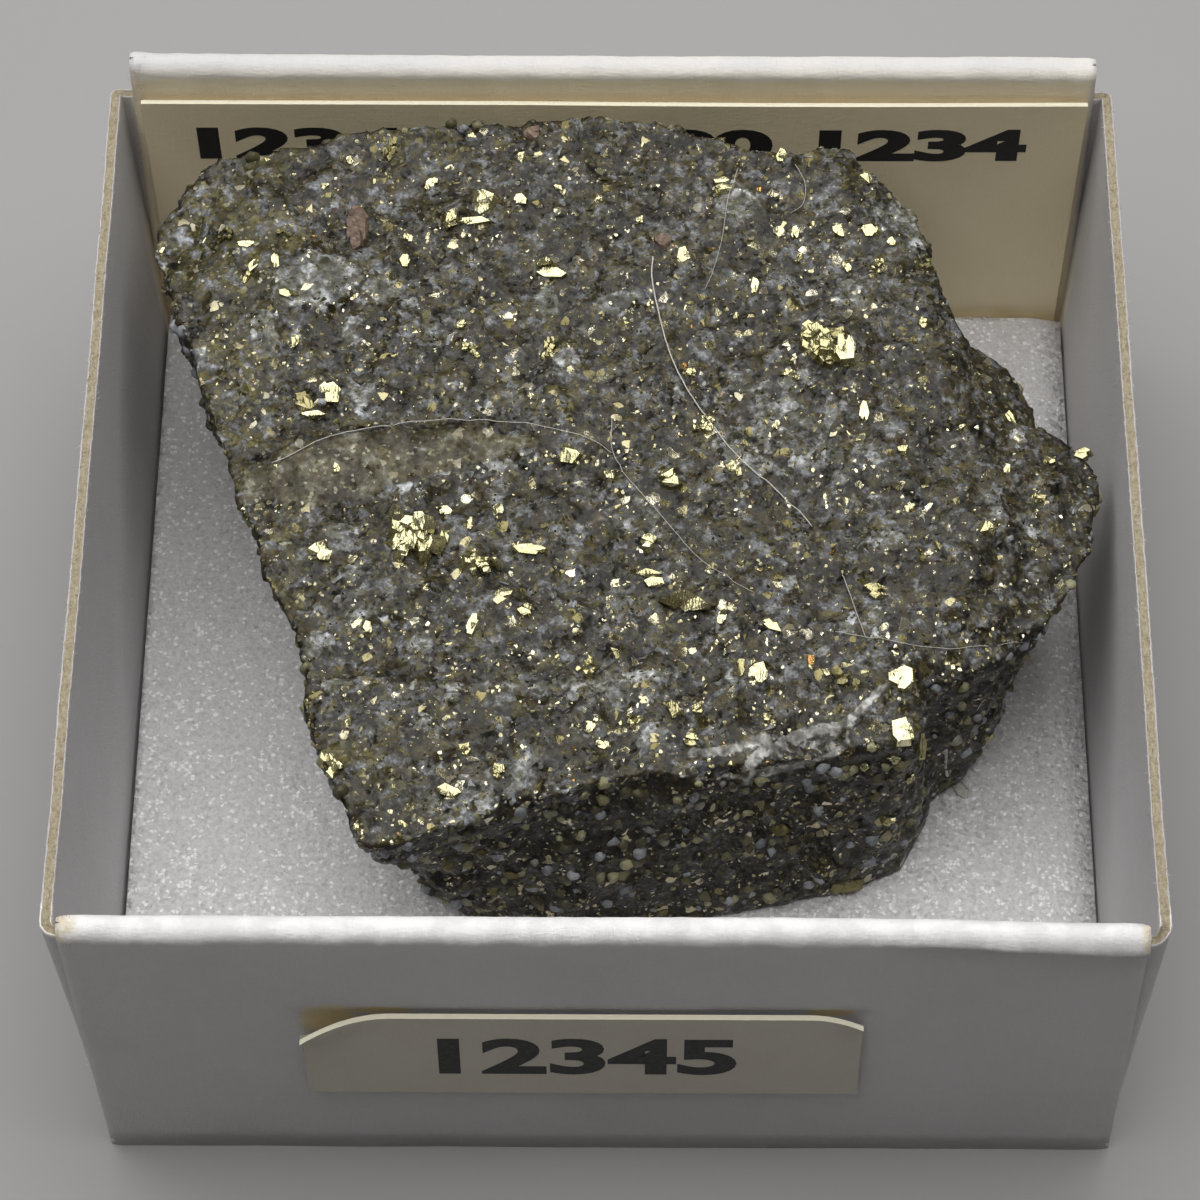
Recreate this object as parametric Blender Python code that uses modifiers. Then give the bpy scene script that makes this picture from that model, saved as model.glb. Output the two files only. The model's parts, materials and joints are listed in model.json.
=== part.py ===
"""Pyrite with quartz: a broken piece of ore on foam in a small folded card tray.

Lengths are in millimetres in this file and become metres when a mesh is made.
The origin is at the middle of the tray's underside, +Z up, the tray's front at -Y.
"""
import math

import bmesh
import bpy
import numpy as np
from mathutils import Euler, Matrix, Vector, geometry, noise

MM = 0.001
GAP = 0.3

# Tray: one card blank, side walls single, front and back walls folded double.
TRAY_LEFT = -19.75
TRAY_RIGHT = 20.0
TRAY_DEPTH = 40.0
CARD = 0.45
FOLDED = 1.1
RIM_ROUND = 0.46 * FOLDED
SIDE_HEIGHT = 17.3
FRONT_HEIGHT = 17.6
BACK_HEIGHT = 19.2
LEFT_FLARE = 1.05
RIGHT_FLARE = 0.8
RIM_FLARE = 0.2
FRONT_LEAN = 0.3
BACK_LEAN = 0.6
FLAP_DROP = 0.7
FLAP_LENGTH = 5.0
FLAP_CARD = 0.36
FLAP_INSET = 0.11
SEAM = 0.02

# Foam pad on the tray's floor.
FOAM_TOP = 4.4
FOAM_BOTTOM = CARD + GAP
FOAM_LEFT = -19.05
FOAM_RIGHT = 19.25
FOAM_FRONT = -18.5
FOAM_BACK = 18.1
FOAM_LEFT_SLANT = 0.22
FOAM_RIGHT_SLANT = 0.65

# Labels.
NAME_LABEL_LEFT = -19.05
NAME_LABEL_RIGHT = 19.3
NAME_LABEL_TOP = 17.7
NAME_LABEL_SPREAD = 0.4
NAME_LABEL_CARD = 0.3
NUMBER_LABEL_LEFT = -11.5
NUMBER_LABEL_RIGHT = 9.7
NUMBER_LABEL_BOTTOM = 5.7
NUMBER_LABEL_TOP = 11.9
NUMBER_LABEL_PAPER = 0.15
LEFT_PEEL_LIFT = 0.9
LEFT_PEEL_REACH = 3.4
RIGHT_PEEL_LIFT = 0.36
RIGHT_PEEL_REACH = 2.0
PEEL_DROOP = 0.5

# Specimen: the top face slopes down from the back edge to the front edge.
REST = FOAM_TOP + GAP
WAIST_HEIGHT = 10.0
TOP_MIDDLE = 16.15
TOP_SLOPE = 0.09
FRONT_FACE = -12.0
CENTRE = Vector((0.0, 1.5))

# Broken-rock relief: how high and how close together waves, chips and grain are.
WAVE_HEIGHT = 0.3
WAVES_PER_MM = 0.16
CHIP_HEIGHT = 0.42
CHIPS_PER_MM = 0.55
CHIP_MIDDLE = 0.35
GRAIN_HEIGHT = 0.16
GRAINS_PER_MM = 1.9
TOP_RELIEF = 0.85
BROW_RELIEF = 0.4
SIDE_RELIEF = 2.2
SIDE_PUSH = 0.45
SIDE_WANDER = 0.25
BROW_JAG = 0.35

# Spacing of the facets on the top, and how many the sides have round and down.
CELL = 0.9
JITTER = 0.25
COLUMNS = 132
SIDE_STEPS = 9

# Outer edge of the top face: x, y, how far it lies below the sloping plane,
# and how far in from the edge that fall begins.
BROW = [
    (-9.7, -15.1, 0.2, 2.0), (-8.1, -14.8, 0.1, 1.5), (-6.7, -14.1, 0.0, 1.0),
    (-4.0, -13.2, 0.0, 1.0), (-1.8, -12.5, 0.0, 1.0), (1.3, -11.8, 0.1, 1.5),
    (6.6, -11.2, 0.1, 1.5), (10.0, -10.7, 0.1, 1.0), (11.9, -10.2, 0.3, 1.0),
    (12.5, -8.9, 0.6, 1.2), (12.6, -7.5, 1.1, 1.6), (13.2, -7.6, 0.9, 2.0),
    (14.2, -6.9, 0.8, 2.5), (15.4, -6.1, 0.8, 3.0), (16.8, -4.9, 0.9, 3.5),
    (18.5, -2.8, 1.1, 5.0), (18.9, -1.1, 1.2, 5.5), (19.5, 0.9, 1.3, 6.0),
    (19.7, 2.1, 1.4, 6.0), (19.2, 3.2, 1.4, 6.0), (18.5, 4.0, 1.5, 5.0),
    (17.4, 4.5, 1.5, 4.0), (16.0, 4.5, 1.2, 2.5), (15.0, 5.4, 0.9, 1.5),
    (14.3, 7.5, 0.6, 1.2), (13.9, 9.1, 0.5, 1.2), (13.1, 11.8, 0.6, 1.6),
    (12.4, 13.9, 0.9, 2.2), (11.0, 15.4, 0.5, 1.8), (10.5, 16.8, 0.3, 1.2),
    (9.8, 17.3, 0.1, 1.0), (7.8, 16.7, 0.0, 1.0), (6.5, 16.5, 0.1, 1.0),
    (5.1, 17.2, 0.0, 1.0), (1.8, 18.1, 0.0, 1.0), (-0.6, 18.3, 0.0, 1.0),
    (-4.6, 18.1, 0.0, 1.0), (-9.3, 17.9, 0.0, 1.0), (-12.8, 17.1, 0.2, 1.5),
    (-15.7, 16.8, 0.4, 2.5), (-17.1, 15.8, 0.6, 3.0), (-18.2, 14.6, 0.9, 3.5),
    (-18.7, 12.9, 1.0, 4.0), (-18.3, 10.9, 0.6, 3.0), (-17.3, 8.0, 0.1, 1.5),
    (-16.0, 4.2, 0.0, 1.0), (-15.1, 1.9, 0.0, 1.0), (-15.0, 0.5, 0.1, 1.0),
    (-13.5, -3.0, 0.0, 1.0), (-12.0, -6.5, 0.0, 1.0), (-11.8, -8.7, 0.0, 1.0),
    (-10.6, -12.1, 0.1, 1.0),
]
# Outline half way down the sides.
WAIST = [
    (-7.6, -13.9), (-4.0, -13.3), (-1.5, -12.9), (3.0, -12.2), (8.0, -11.6),
    (11.4, -10.6), (12.5, -9.3), (12.1, -7.5), (13.3, -7.2), (14.5, -6.4),
    (15.5, -4.9), (16.9, -2.8), (18.1, -0.9), (18.8, 1.4), (18.3, 4.2),
    (15.4, 8.0), (13.4, 11.8), (11.8, 15.2), (9.0, 17.1), (4.0, 17.6),
    (-1.0, 18.0), (-8.0, 17.7), (-13.0, 16.6), (-16.2, 14.6), (-17.4, 11.9),
    (-15.9, 7.6), (-13.8, 2.0), (-12.2, -3.0), (-10.4, -8.6), (-8.8, -12.2),
]
# Outline of the underside, which rests on the foam.
FOOT = [
    (-5.7, -12.1), (-2.0, -12.7), (4.0, -12.1), (9.2, -11.0), (11.8, -9.9),
    (12.9, -7.6), (13.0, -6.6), (14.2, -5.8), (15.2, -4.4), (16.1, -1.8),
    (17.0, 4.0), (15.4, 9.8), (12.6, 14.2), (7.0, 16.6), (-1.5, 17.2),
    (-9.0, 16.6), (-14.0, 14.4), (-15.4, 11.2), (-13.6, 6.0), (-11.6, 1.0),
    (-9.6, -4.4), (-8.0, -9.0),
]
# A lower ledge that juts out at the back right.
LEDGE = [(17.4, 4.2), (17.7, 6.0), (16.9, 8.8), (16.1, 10.1), (15.0, 10.5), (13.2, 11.4)]
LEDGE_TOP = 13.2

# Rises and hollows on the top: x, y, radius and height.
RISES = [
    (-11.0, 10.5, 2.6, 0.35), (-14.0, 11.5, 2.0, 0.3), (8.8, 7.3, 2.2, 0.35),
    (-6.5, 13.4, 2.0, 0.3), (15.5, -0.5, 1.8, 0.4), (17.6, 1.2, 1.4, 0.45),
    (11.5, -8.2, 1.5, 0.3), (-2.0, 5.2, 2.6, 0.2), (4.5, -3.5, 2.8, 0.2),
]
HOLLOWS = [
    (7.6, -10.0, 1.1, 0.6), (-5.2, 11.6, 1.2, 0.35), (13.4, 2.6, 1.8, 0.4),
    (-10.0, 6.4, 1.8, 0.3), (1.0, 8.6, 2.2, 0.3), (-8.5, -6.5, 2.4, 0.25),
    (8.0, 0.5, 2.4, 0.3), (15.6, 3.4, 1.0, 0.5),
]
# A long lens of olive quartz crosses the left half, with a low step on its near side.
LENS_START = Vector((-14.4, 0.4))
LENS_END = Vector((-1.9, 2.4))
LENS_STEP = 0.3
LENS_STEP_WIDTH = 0.7
LENS_FADE = 3.5

# The largest pyrite grains on the top face: x, y and size.
TOP_GRAINS = [
    (-11.3, 4.7, 1.8), (-6.3, 13.4, 1.7), (-4.9, 14.2, 1.4), (8.8, 7.3, 2.2),
    (-7.7, -1.3, 1.9), (-11.3, -2.2, 1.1), (-5.0, -2.6, 1.2), (-2.6, 10.9, 1.1),
    (5.7, -7.5, 1.2), (11.6, -7.6, 1.3), (11.2, -9.9, 1.1), (7.2, 16.2, 1.0),
    (5.0, 15.0, 1.0), (-1.6, 2.3, 1.1), (2.3, 1.2, 1.1), (1.4, -1.8, 0.9),
    (3.1, -4.4, 1.2), (10.6, -3.9, 1.0), (14.8, -0.9, 1.0), (-4.1, -11.2, 1.0),
    (-10.4, 12.7, 1.3), (8.8, -7.6, 0.9), (10.2, 4.3, 0.9), (10.5, 15.0, 0.9),
    (-10.0, -11.4, 1.0), (3.0, 11.5, 0.8), (0.1, 1.0, 0.9), (-9.4, -5.2, 0.8),
    (-5.5, -10.4, 0.8), (-3.4, -4.4, 0.9), (7.4, 2.6, 0.8), (5.6, 8.6, 0.8),
    (-13.2, 8.8, 1.0), (-12.2, 11.8, 1.0), (12.8, 8.2, 0.8), (17.6, 1.4, 1.0),
    (0.4, 14.6, 0.9), (-8.6, 8.9, 0.9), (13.6, -4.4, 0.8), (2.9, -9.0, 0.9),
]
# Grains on the front break face: x, z and size.
FRONT_GRAINS = [
    (8.9, 7.6, 1.5), (-4.6, 6.4, 1.1), (-2.2, 5.8, 1.0), (3.0, 10.6, 1.0),
    (6.4, 11.4, 0.9), (-1.4, 10.2, 0.9), (10.6, 11.8, 0.9), (0.8, 8.2, 0.9),
]
GRAIN_SEED = 7
GRAIN_WIDTH = 0.72
GRAIN_SINK = 0.14
GRAIN_CORNER = 0.16
LATTICE_SEED = 3


def linear(channel):
    """Turn one sRGB channel of 0 to 1 into the linear value a material holds."""
    if channel <= 0.04045:
        return channel / 12.92
    return ((channel + 0.055) / 1.055) ** 2.4


def make_material(name, srgb, roughness, metallic=0.0):
    """A plain Principled material in one colour."""
    material = bpy.data.materials.new(name)
    material.use_nodes = True
    shader = material.node_tree.nodes["Principled BSDF"]
    shader.inputs["Base Color"].default_value = (*[linear(c) for c in srgb], 1.0)
    shader.inputs["Roughness"].default_value = roughness
    shader.inputs["Metallic"].default_value = metallic
    return material


def clear_scene():
    """Remove every object, so the file holds only this model."""
    for old in list(bpy.data.objects):
        bpy.data.objects.remove(old, do_unlink=True)


def new_collection(name):
    """A collection linked to the scene."""
    collection = bpy.data.collections.new(name)
    bpy.context.scene.collection.children.link(collection)
    return collection


def finish_mesh(bm, name, collection, material=None):
    """Scale a millimetre bmesh to metres and put it in an object."""
    bmesh.ops.scale(bm, vec=(MM, MM, MM), verts=bm.verts)
    bmesh.ops.recalc_face_normals(bm, faces=bm.faces)
    mesh = bpy.data.meshes.new(name)
    bm.to_mesh(mesh)
    bm.free()
    obj = bpy.data.objects.new(name, mesh)
    collection.objects.link(obj)
    if material:
        mesh.materials.append(material)
    return obj


def hide_cutter(obj):
    """Mark a solid as a helper of another one."""
    obj.hide_render = True
    obj.display_type = "WIRE"


def join_with(target, helper):
    """Fuse a helper solid into the target."""
    modifier = target.modifiers.new("fuse " + helper.name, "BOOLEAN")
    modifier.operation = "UNION"
    modifier.solver = "EXACT"
    modifier.object = helper


def block(low, high):
    """A box as a bmesh, from its lowest corner to its highest."""
    bm = bmesh.new()
    bmesh.ops.create_cube(bm, size=1.0)
    low = Vector(low)
    high = Vector(high)
    size = high - low
    middle = (low + high) / 2
    bmesh.ops.scale(bm, vec=size, verts=bm.verts)
    bmesh.ops.translate(bm, vec=middle, verts=bm.verts)
    return bm


def lean(bm, per_height):
    """Shift each point sideways in proportion to its height above the table."""
    for vert in bm.verts:
        vert.co.x += per_height[0] * vert.co.z
        vert.co.y += per_height[1] * vert.co.z


def round_rim(bm, height):
    """Round the two long upper edges of a folded wall."""
    edges = [e for e in bm.edges if all(v.co.z > height - 0.01 for v in e.verts)
             and abs(e.verts[0].co.x - e.verts[1].co.x) > FOLDED]
    bmesh.ops.bevel(bm, geom=edges, offset=RIM_ROUND, segments=4, profile=0.5,
                    affect="EDGES")


def folded_wall(sign, height, top_lean, name, collection):
    """The front or back wall: two layers of card with a rounded fold on top."""
    outer = TRAY_DEPTH / 2
    inner = outer - FOLDED
    bm = block((TRAY_LEFT + SEAM, min(sign * inner, sign * outer), 0.0),
               (TRAY_RIGHT - SEAM, max(sign * inner, sign * outer), height))
    round_rim(bm, height)
    lean(bm, (0.0, sign * top_lean / height))
    for vert in bm.verts:
        if vert.co.x < 0:
            vert.co.x -= RIM_FLARE * vert.co.z / height
    return finish_mesh(bm, name, collection)


def side_wall(outer, flare, collection):
    """A side wall: one layer of card with a raw upper edge."""
    inner = outer - math.copysign(CARD, outer)
    half = TRAY_DEPTH / 2
    bm = block((min(inner, outer), -half, 0.0), (max(inner, outer), half, SIDE_HEIGHT))
    lean(bm, (math.copysign(flare, outer) / SIDE_HEIGHT, 0.0))
    return finish_mesh(bm, "side wall", collection)


def corner_flap(wall, flare, end, collection):
    """The end of a side wall, folded round and tucked into the double wall."""
    outer = wall - math.copysign(FLAP_INSET, wall)
    inner = outer - math.copysign(FLAP_LENGTH, wall)
    middle = end * (TRAY_DEPTH - FOLDED) / 2
    bm = block((min(inner, outer), middle - FLAP_CARD / 2, FLAP_INSET),
               (max(inner, outer), middle + FLAP_CARD / 2, SIDE_HEIGHT - FLAP_DROP))
    top_lean = FRONT_LEAN / FRONT_HEIGHT if end < 0 else BACK_LEAN / BACK_HEIGHT
    for vert in bm.verts:
        if abs(vert.co.x) > abs(outer) - 0.01:
            vert.co.x += math.copysign(flare, wall) * vert.co.z / SIDE_HEIGHT
        vert.co.y += end * top_lean * vert.co.z
    return finish_mesh(bm, "corner flap", collection)


def make_tray(parts, helpers):
    """The tray: floor, four walls and the four tucked flaps, fused into one card."""
    card = make_material("tray card", (0.93, 0.92, 0.90), 0.75)
    half_depth = TRAY_DEPTH / 2 - SEAM
    floor = block((TRAY_LEFT + SEAM, -half_depth, 0.0), (TRAY_RIGHT - SEAM, half_depth, CARD))
    tray = finish_mesh(floor, "tray", parts, card)
    walls = [
        folded_wall(-1, FRONT_HEIGHT, FRONT_LEAN, "front wall", helpers),
        folded_wall(1, BACK_HEIGHT, BACK_LEAN, "back wall", helpers),
    ]
    for wall, flare in ((TRAY_LEFT, LEFT_FLARE), (TRAY_RIGHT, RIGHT_FLARE)):
        walls.append(side_wall(wall, flare, helpers))
        for end in (-1, 1):
            walls.append(corner_flap(wall, flare, end, helpers))
    for wall in walls:
        hide_cutter(wall)
        join_with(tray, wall)
    return tray


def make_foam_pad(parts):
    """The foam sheet, with its right-hand cut edge slanting."""
    foam = make_material("foam", (0.90, 0.89, 0.89), 0.9)
    bm = block((FOAM_LEFT, FOAM_FRONT, FOAM_BOTTOM), (FOAM_RIGHT, FOAM_BACK, FOAM_TOP))
    for vert in bm.verts:
        if vert.co.z > FOAM_TOP - 0.01:
            vert.co.x -= FOAM_LEFT_SLANT if vert.co.x < 0 else FOAM_RIGHT_SLANT
    return finish_mesh(bm, "foam_pad", parts, foam)


def make_name_label(parts):
    """The card behind the rock, leaning with the back wall."""
    paper = make_material("name card", (0.86, 0.80, 0.62), 0.8)
    back = TRAY_DEPTH / 2 - FOLDED - GAP
    bm = block((NAME_LABEL_LEFT, back - NAME_LABEL_CARD, CARD + GAP),
               (NAME_LABEL_RIGHT, back, NAME_LABEL_TOP))
    for vert in bm.verts:
        vert.co.x += math.copysign(NAME_LABEL_SPREAD, vert.co.x) * vert.co.z / NAME_LABEL_TOP
    lean(bm, (0.0, BACK_LEAN / BACK_HEIGHT))
    return finish_mesh(bm, "name_label", parts, paper)


def peel(x, z):
    """How far the number label stands off the wall at a point."""
    left = math.hypot(x - NUMBER_LABEL_LEFT, (z - NUMBER_LABEL_TOP) * 1.4)
    right = math.hypot(x - NUMBER_LABEL_RIGHT, (z - NUMBER_LABEL_TOP) * 1.8)
    left_share = max(0.0, 1.0 - left / LEFT_PEEL_REACH)
    right_share = max(0.0, 1.0 - right / RIGHT_PEEL_REACH)
    return LEFT_PEEL_LIFT * left_share ** 2 + RIGHT_PEEL_LIFT * right_share ** 2


def make_number_label(parts):
    """The paper label on the front wall: a thin sheet with peeling corners."""
    paper = make_material("number paper", (0.84, 0.79, 0.66), 0.8)
    width = NUMBER_LABEL_RIGHT - NUMBER_LABEL_LEFT
    height = NUMBER_LABEL_TOP - NUMBER_LABEL_BOTTOM
    middle_x = (NUMBER_LABEL_RIGHT + NUMBER_LABEL_LEFT) / 2
    middle_z = (NUMBER_LABEL_TOP + NUMBER_LABEL_BOTTOM) / 2
    bm = bmesh.new()
    bmesh.ops.create_grid(bm, x_segments=18, y_segments=6, size=0.5)
    for vert in bm.verts:
        x = middle_x + vert.co.x * width
        z = middle_z + vert.co.y * height
        wall = -TRAY_DEPTH / 2 - FRONT_LEAN * z / FRONT_HEIGHT
        lift = peel(x, z)
        vert.co = Vector((x, wall - GAP - lift, z - PEEL_DROOP * lift))
    label = finish_mesh(bm, "number_label", parts, paper)
    solid = label.modifiers.new("paper", "SOLIDIFY")
    solid.thickness = NUMBER_LABEL_PAPER * MM
    solid.offset = 0.0
    return label


def crossing(outline, angle):
    """Distance from the centre to a closed outline along one direction."""
    direction = Vector((math.cos(angle), math.sin(angle)))
    best = None
    for index, point in enumerate(outline):
        start = Vector(point[:2]) - CENTRE
        end = Vector(outline[(index + 1) % len(outline)][:2]) - CENTRE
        along = end - start
        cross = direction.x * along.y - direction.y * along.x
        if abs(cross) < 1e-9:
            continue
        reach = (start.x * along.y - start.y * along.x) / cross
        share = (start.x * direction.y - start.y * direction.x) / cross
        if reach > 0 and -1e-9 <= share <= 1 + 1e-9 and (best is None or reach > best[0]):
            best = (reach, index, min(max(share, 0.0), 1.0))
    return best


def brow_point(angle):
    """Distance to the brow, its drop and the reach of that drop along one direction."""
    reach, index, share = crossing(BROW, angle)
    start = BROW[index]
    end = BROW[(index + 1) % len(BROW)]
    drop = start[2] + (end[2] - start[2]) * share
    fall = start[3] + (end[3] - start[3]) * share
    return reach, drop, fall


def smooth(value, low, high):
    """An eased step from 0 at low to 1 at high."""
    share = min(max((value - low) / (high - low), 0.0), 1.0)
    return share * share * (3 - 2 * share)


def bump(x, y, feature):
    """A round rise of the given radius and height."""
    distance = math.hypot(x - feature[0], y - feature[1]) / feature[2]
    if distance >= 1:
        return 0.0
    return feature[3] * (1 - distance * distance) ** 2


def lens_offset(x, y):
    """The low step along the near side of the quartz lens."""
    along = LENS_END - LENS_START
    point = Vector((x, y)) - LENS_START
    share = point.dot(along) / along.length_squared
    if share < -0.1 or share > 1.1:
        return 0.0
    across = (along.x * point.y - along.y * point.x) / along.length
    ends = smooth(share, -0.1, 0.1) * (1 - smooth(share, 0.9, 1.1))
    half = LENS_STEP_WIDTH / 2
    return -LENS_STEP * ends * smooth(-across, -half, half) * (1 - smooth(-across, half, LENS_FADE))


def chips(point):
    """Broken-rock relief: broad waves, angular chips and a fine grain, about 0 on average."""
    wave = noise.fractal(point * WAVES_PER_MM, 0.9, 2.0, 3)
    first, second = noise.voronoi(point * CHIPS_PER_MM)[0][:2]
    chip = second - first - CHIP_MIDDLE
    grain = noise.noise(point * GRAINS_PER_MM)
    return WAVE_HEIGHT * wave + CHIP_HEIGHT * chip + GRAIN_HEIGHT * grain


def top_height(x, y):
    """Height of the top face: the sloping plane, lowered towards its edge."""
    offset = Vector((x, y)) - CENTRE
    height = TOP_MIDDLE + TOP_SLOPE * y
    edge = 0.0
    if offset.length > 1e-6:
        reach, drop, fall = brow_point(math.atan2(offset.y, offset.x))
        inset = reach - offset.length
        height -= drop * (1 - smooth(inset, -0.3, fall))
        edge = 1 - smooth(inset, 0.0, 1.0)
    height += sum(bump(x, y, rise) for rise in RISES)
    height -= sum(bump(x, y, hollow) for hollow in HOLLOWS)
    relief = chips(Vector((x, y, height))) * (TOP_RELIEF + (BROW_RELIEF - TOP_RELIEF) * edge)
    return height + lens_offset(x, y) + relief


def brow_entry(angle):
    """Distance, place and height of the chipped brow along one direction."""
    direction = Vector((math.cos(angle), math.sin(angle)))
    reach = crossing(BROW, angle)[0]
    flat = CENTRE + direction * reach
    jag = noise.noise(Vector((flat.x, flat.y, 3.0)) * 0.9)
    reach += BROW_JAG * jag
    flat = CENTRE + direction * reach
    return reach, flat, top_height(flat.x, flat.y)


def side_reach(angle, brow_reach, z, top):
    """Distance from the centre to the side at one height."""
    waist = crossing(WAIST, angle)[0]
    foot = crossing(FOOT, angle)[0]
    if z > WAIST_HEIGHT:
        share = (top - z) / (top - WAIST_HEIGHT)
        return brow_reach + (waist - brow_reach) * share
    share = (WAIST_HEIGHT - z) / (WAIST_HEIGHT - REST)
    return waist + (foot - waist) * share ** 1.2


def side_point(angle, brow, level):
    """A point on the side: level 0 is the brow and level 1 the foot."""
    top = brow[2]
    z = top + (REST - top) * level
    reach = side_reach(angle, brow[0], z, top)
    ledge = crossing(LEDGE + [tuple(CENTRE)], angle)
    if ledge and z < LEDGE_TOP:
        foot = crossing(FOOT, angle)[0]
        settle = 1 - smooth(LEDGE_TOP - z, 1.5, LEDGE_TOP - REST)
        reach = max(reach, foot + (ledge[0] - foot) * settle)
    direction = Vector((math.cos(angle), math.sin(angle)))
    flat = CENTRE + direction * reach
    if 0 < level < 1:
        hold = math.sin(math.pi * level) ** 0.5
        push = SIDE_RELIEF * hold * chips(Vector((flat.x, flat.y, z)))
        flat += direction * min(push, SIDE_PUSH)
        z += SIDE_WANDER * hold * noise.noise(Vector((flat.x, flat.y, z)) * 0.8)
    return Vector((flat.x, flat.y, z))


def inside(outline, x, y, margin):
    """Whether a point lies inside the outline, at least a margin from it."""
    offset = Vector((x, y)) - CENTRE
    if offset.length < 1e-6:
        return True
    angle = math.atan2(offset.y, offset.x)
    return offset.length < crossing(outline, angle)[0] - margin


def top_points(random):
    """A jittered triangular lattice of points over the top face."""
    points = []
    row_height = CELL * math.sqrt(3) / 2
    for row in range(int(TRAY_DEPTH / row_height)):
        y = -TRAY_DEPTH / 2 + row * row_height
        for column in range(int(TRAY_DEPTH / CELL)):
            x = -TRAY_DEPTH / 2 + (column + 0.5 * (row % 2)) * CELL
            x += random.uniform(-JITTER, JITTER) * CELL
            y_here = y + random.uniform(-JITTER, JITTER) * CELL
            if inside(BROW, x, y_here, 0.65 * CELL):
                points.append(Vector((x, y_here)))
    return points


def make_rock_body(name, collection, material):
    """The rock: a triangulated top face, sides lofted from brow to foot, a flat base."""
    random = np.random.RandomState(LATTICE_SEED)
    angles = [2 * math.pi * index / COLUMNS for index in range(COLUMNS)]
    brow = [brow_entry(angle) for angle in angles]
    outline = [entry[1] for entry in brow]
    inner = top_points(random)
    edges = [(index, (index + 1) % COLUMNS) for index in range(COLUMNS)]
    flat_points, _, triangles = geometry.delaunay_2d_cdt(
        outline + inner, edges, [], 1, 1e-5)[:3]

    bm = bmesh.new()
    top = []
    for index, point in enumerate(flat_points):
        if index < COLUMNS:
            z = brow[index][2]
        else:
            z = top_height(point.x, point.y)
        top.append(bm.verts.new((point.x, point.y, z)))
    for triangle in triangles:
        bm.faces.new([top[index] for index in triangle])

    ring = top[:COLUMNS]
    for step in range(1, SIDE_STEPS + 1):
        level = step / SIDE_STEPS
        lower = []
        for index, angle in enumerate(angles):
            where = side_point(angle, brow[index], level)
            lower.append(bm.verts.new(where))
        for index in range(COLUMNS):
            after = (index + 1) % COLUMNS
            bm.faces.new([ring[index], lower[index], lower[after], ring[after]])
        ring = lower
    bm.faces.new(ring)
    bmesh.ops.triangulate(bm, faces=[f for f in bm.faces if len(f.verts) == 4])
    return finish_mesh(bm, name, collection, material)


def pyrite_grain(bm, centre, size, random):
    """One blocky pyrite grain, turned at random and half sunk where it is placed."""
    before = set(bm.verts)
    bmesh.ops.create_cube(bm, size=1.0)
    edges = [edge for edge in bm.edges if edge.verts[0] not in before]
    bmesh.ops.bevel(bm, geom=edges, offset=GRAIN_CORNER, segments=1, affect="EDGES")
    fresh = [vert for vert in bm.verts if vert not in before]
    stretch = Vector(random.uniform(0.75, 1.15, 3)) * size
    turn = Euler(random.uniform(0, math.pi, 3)).to_matrix().to_4x4()
    place = Matrix.Translation(centre) @ turn @ Matrix.Diagonal((*stretch, 1.0))
    bmesh.ops.transform(bm, matrix=place, verts=fresh)


def make_grains(collection):
    """Every large pyrite grain, as one helper solid."""
    random = np.random.RandomState(GRAIN_SEED)
    bm = bmesh.new()
    for x, y, size in TOP_GRAINS:
        centre = Vector((x, y, top_height(x, y) - GRAIN_SINK * size))
        pyrite_grain(bm, centre, size * GRAIN_WIDTH, random)
    for x, z, size in FRONT_GRAINS:
        top = top_height(x, FRONT_FACE)
        angle = math.atan2(FRONT_FACE - CENTRE.y, x - CENTRE.x)
        centre = side_point(angle, brow_entry(angle), (top - z) / (top - REST))
        pyrite_grain(bm, centre, size * GRAIN_WIDTH, random)
    return finish_mesh(bm, "pyrite grains", collection)


def make_specimen(parts, helpers):
    """The specimen: the rock body with its large grains fused in."""
    rock = make_material("ore", (0.27, 0.27, 0.24), 0.6)
    specimen = make_rock_body("specimen", parts, rock)
    grains = make_grains(helpers)
    hide_cutter(grains)
    join_with(specimen, grains)
    return specimen


def main():
    """Build every piece."""
    clear_scene()
    parts = new_collection("pyrite with quartz")
    helpers = new_collection("helpers")
    make_tray(parts, helpers)
    make_foam_pad(parts)
    make_name_label(parts)
    make_number_label(parts)
    make_specimen(parts, helpers)


main()
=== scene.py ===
# %% [markdown]
# A broken piece of dark ore, full of brassy pyrite and grey quartz, lies on foam in a
# small folded card tray. The solid model gives every piece's place and size. This lesson
# gives the pieces the surfaces that the real ones have, one after another.

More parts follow.
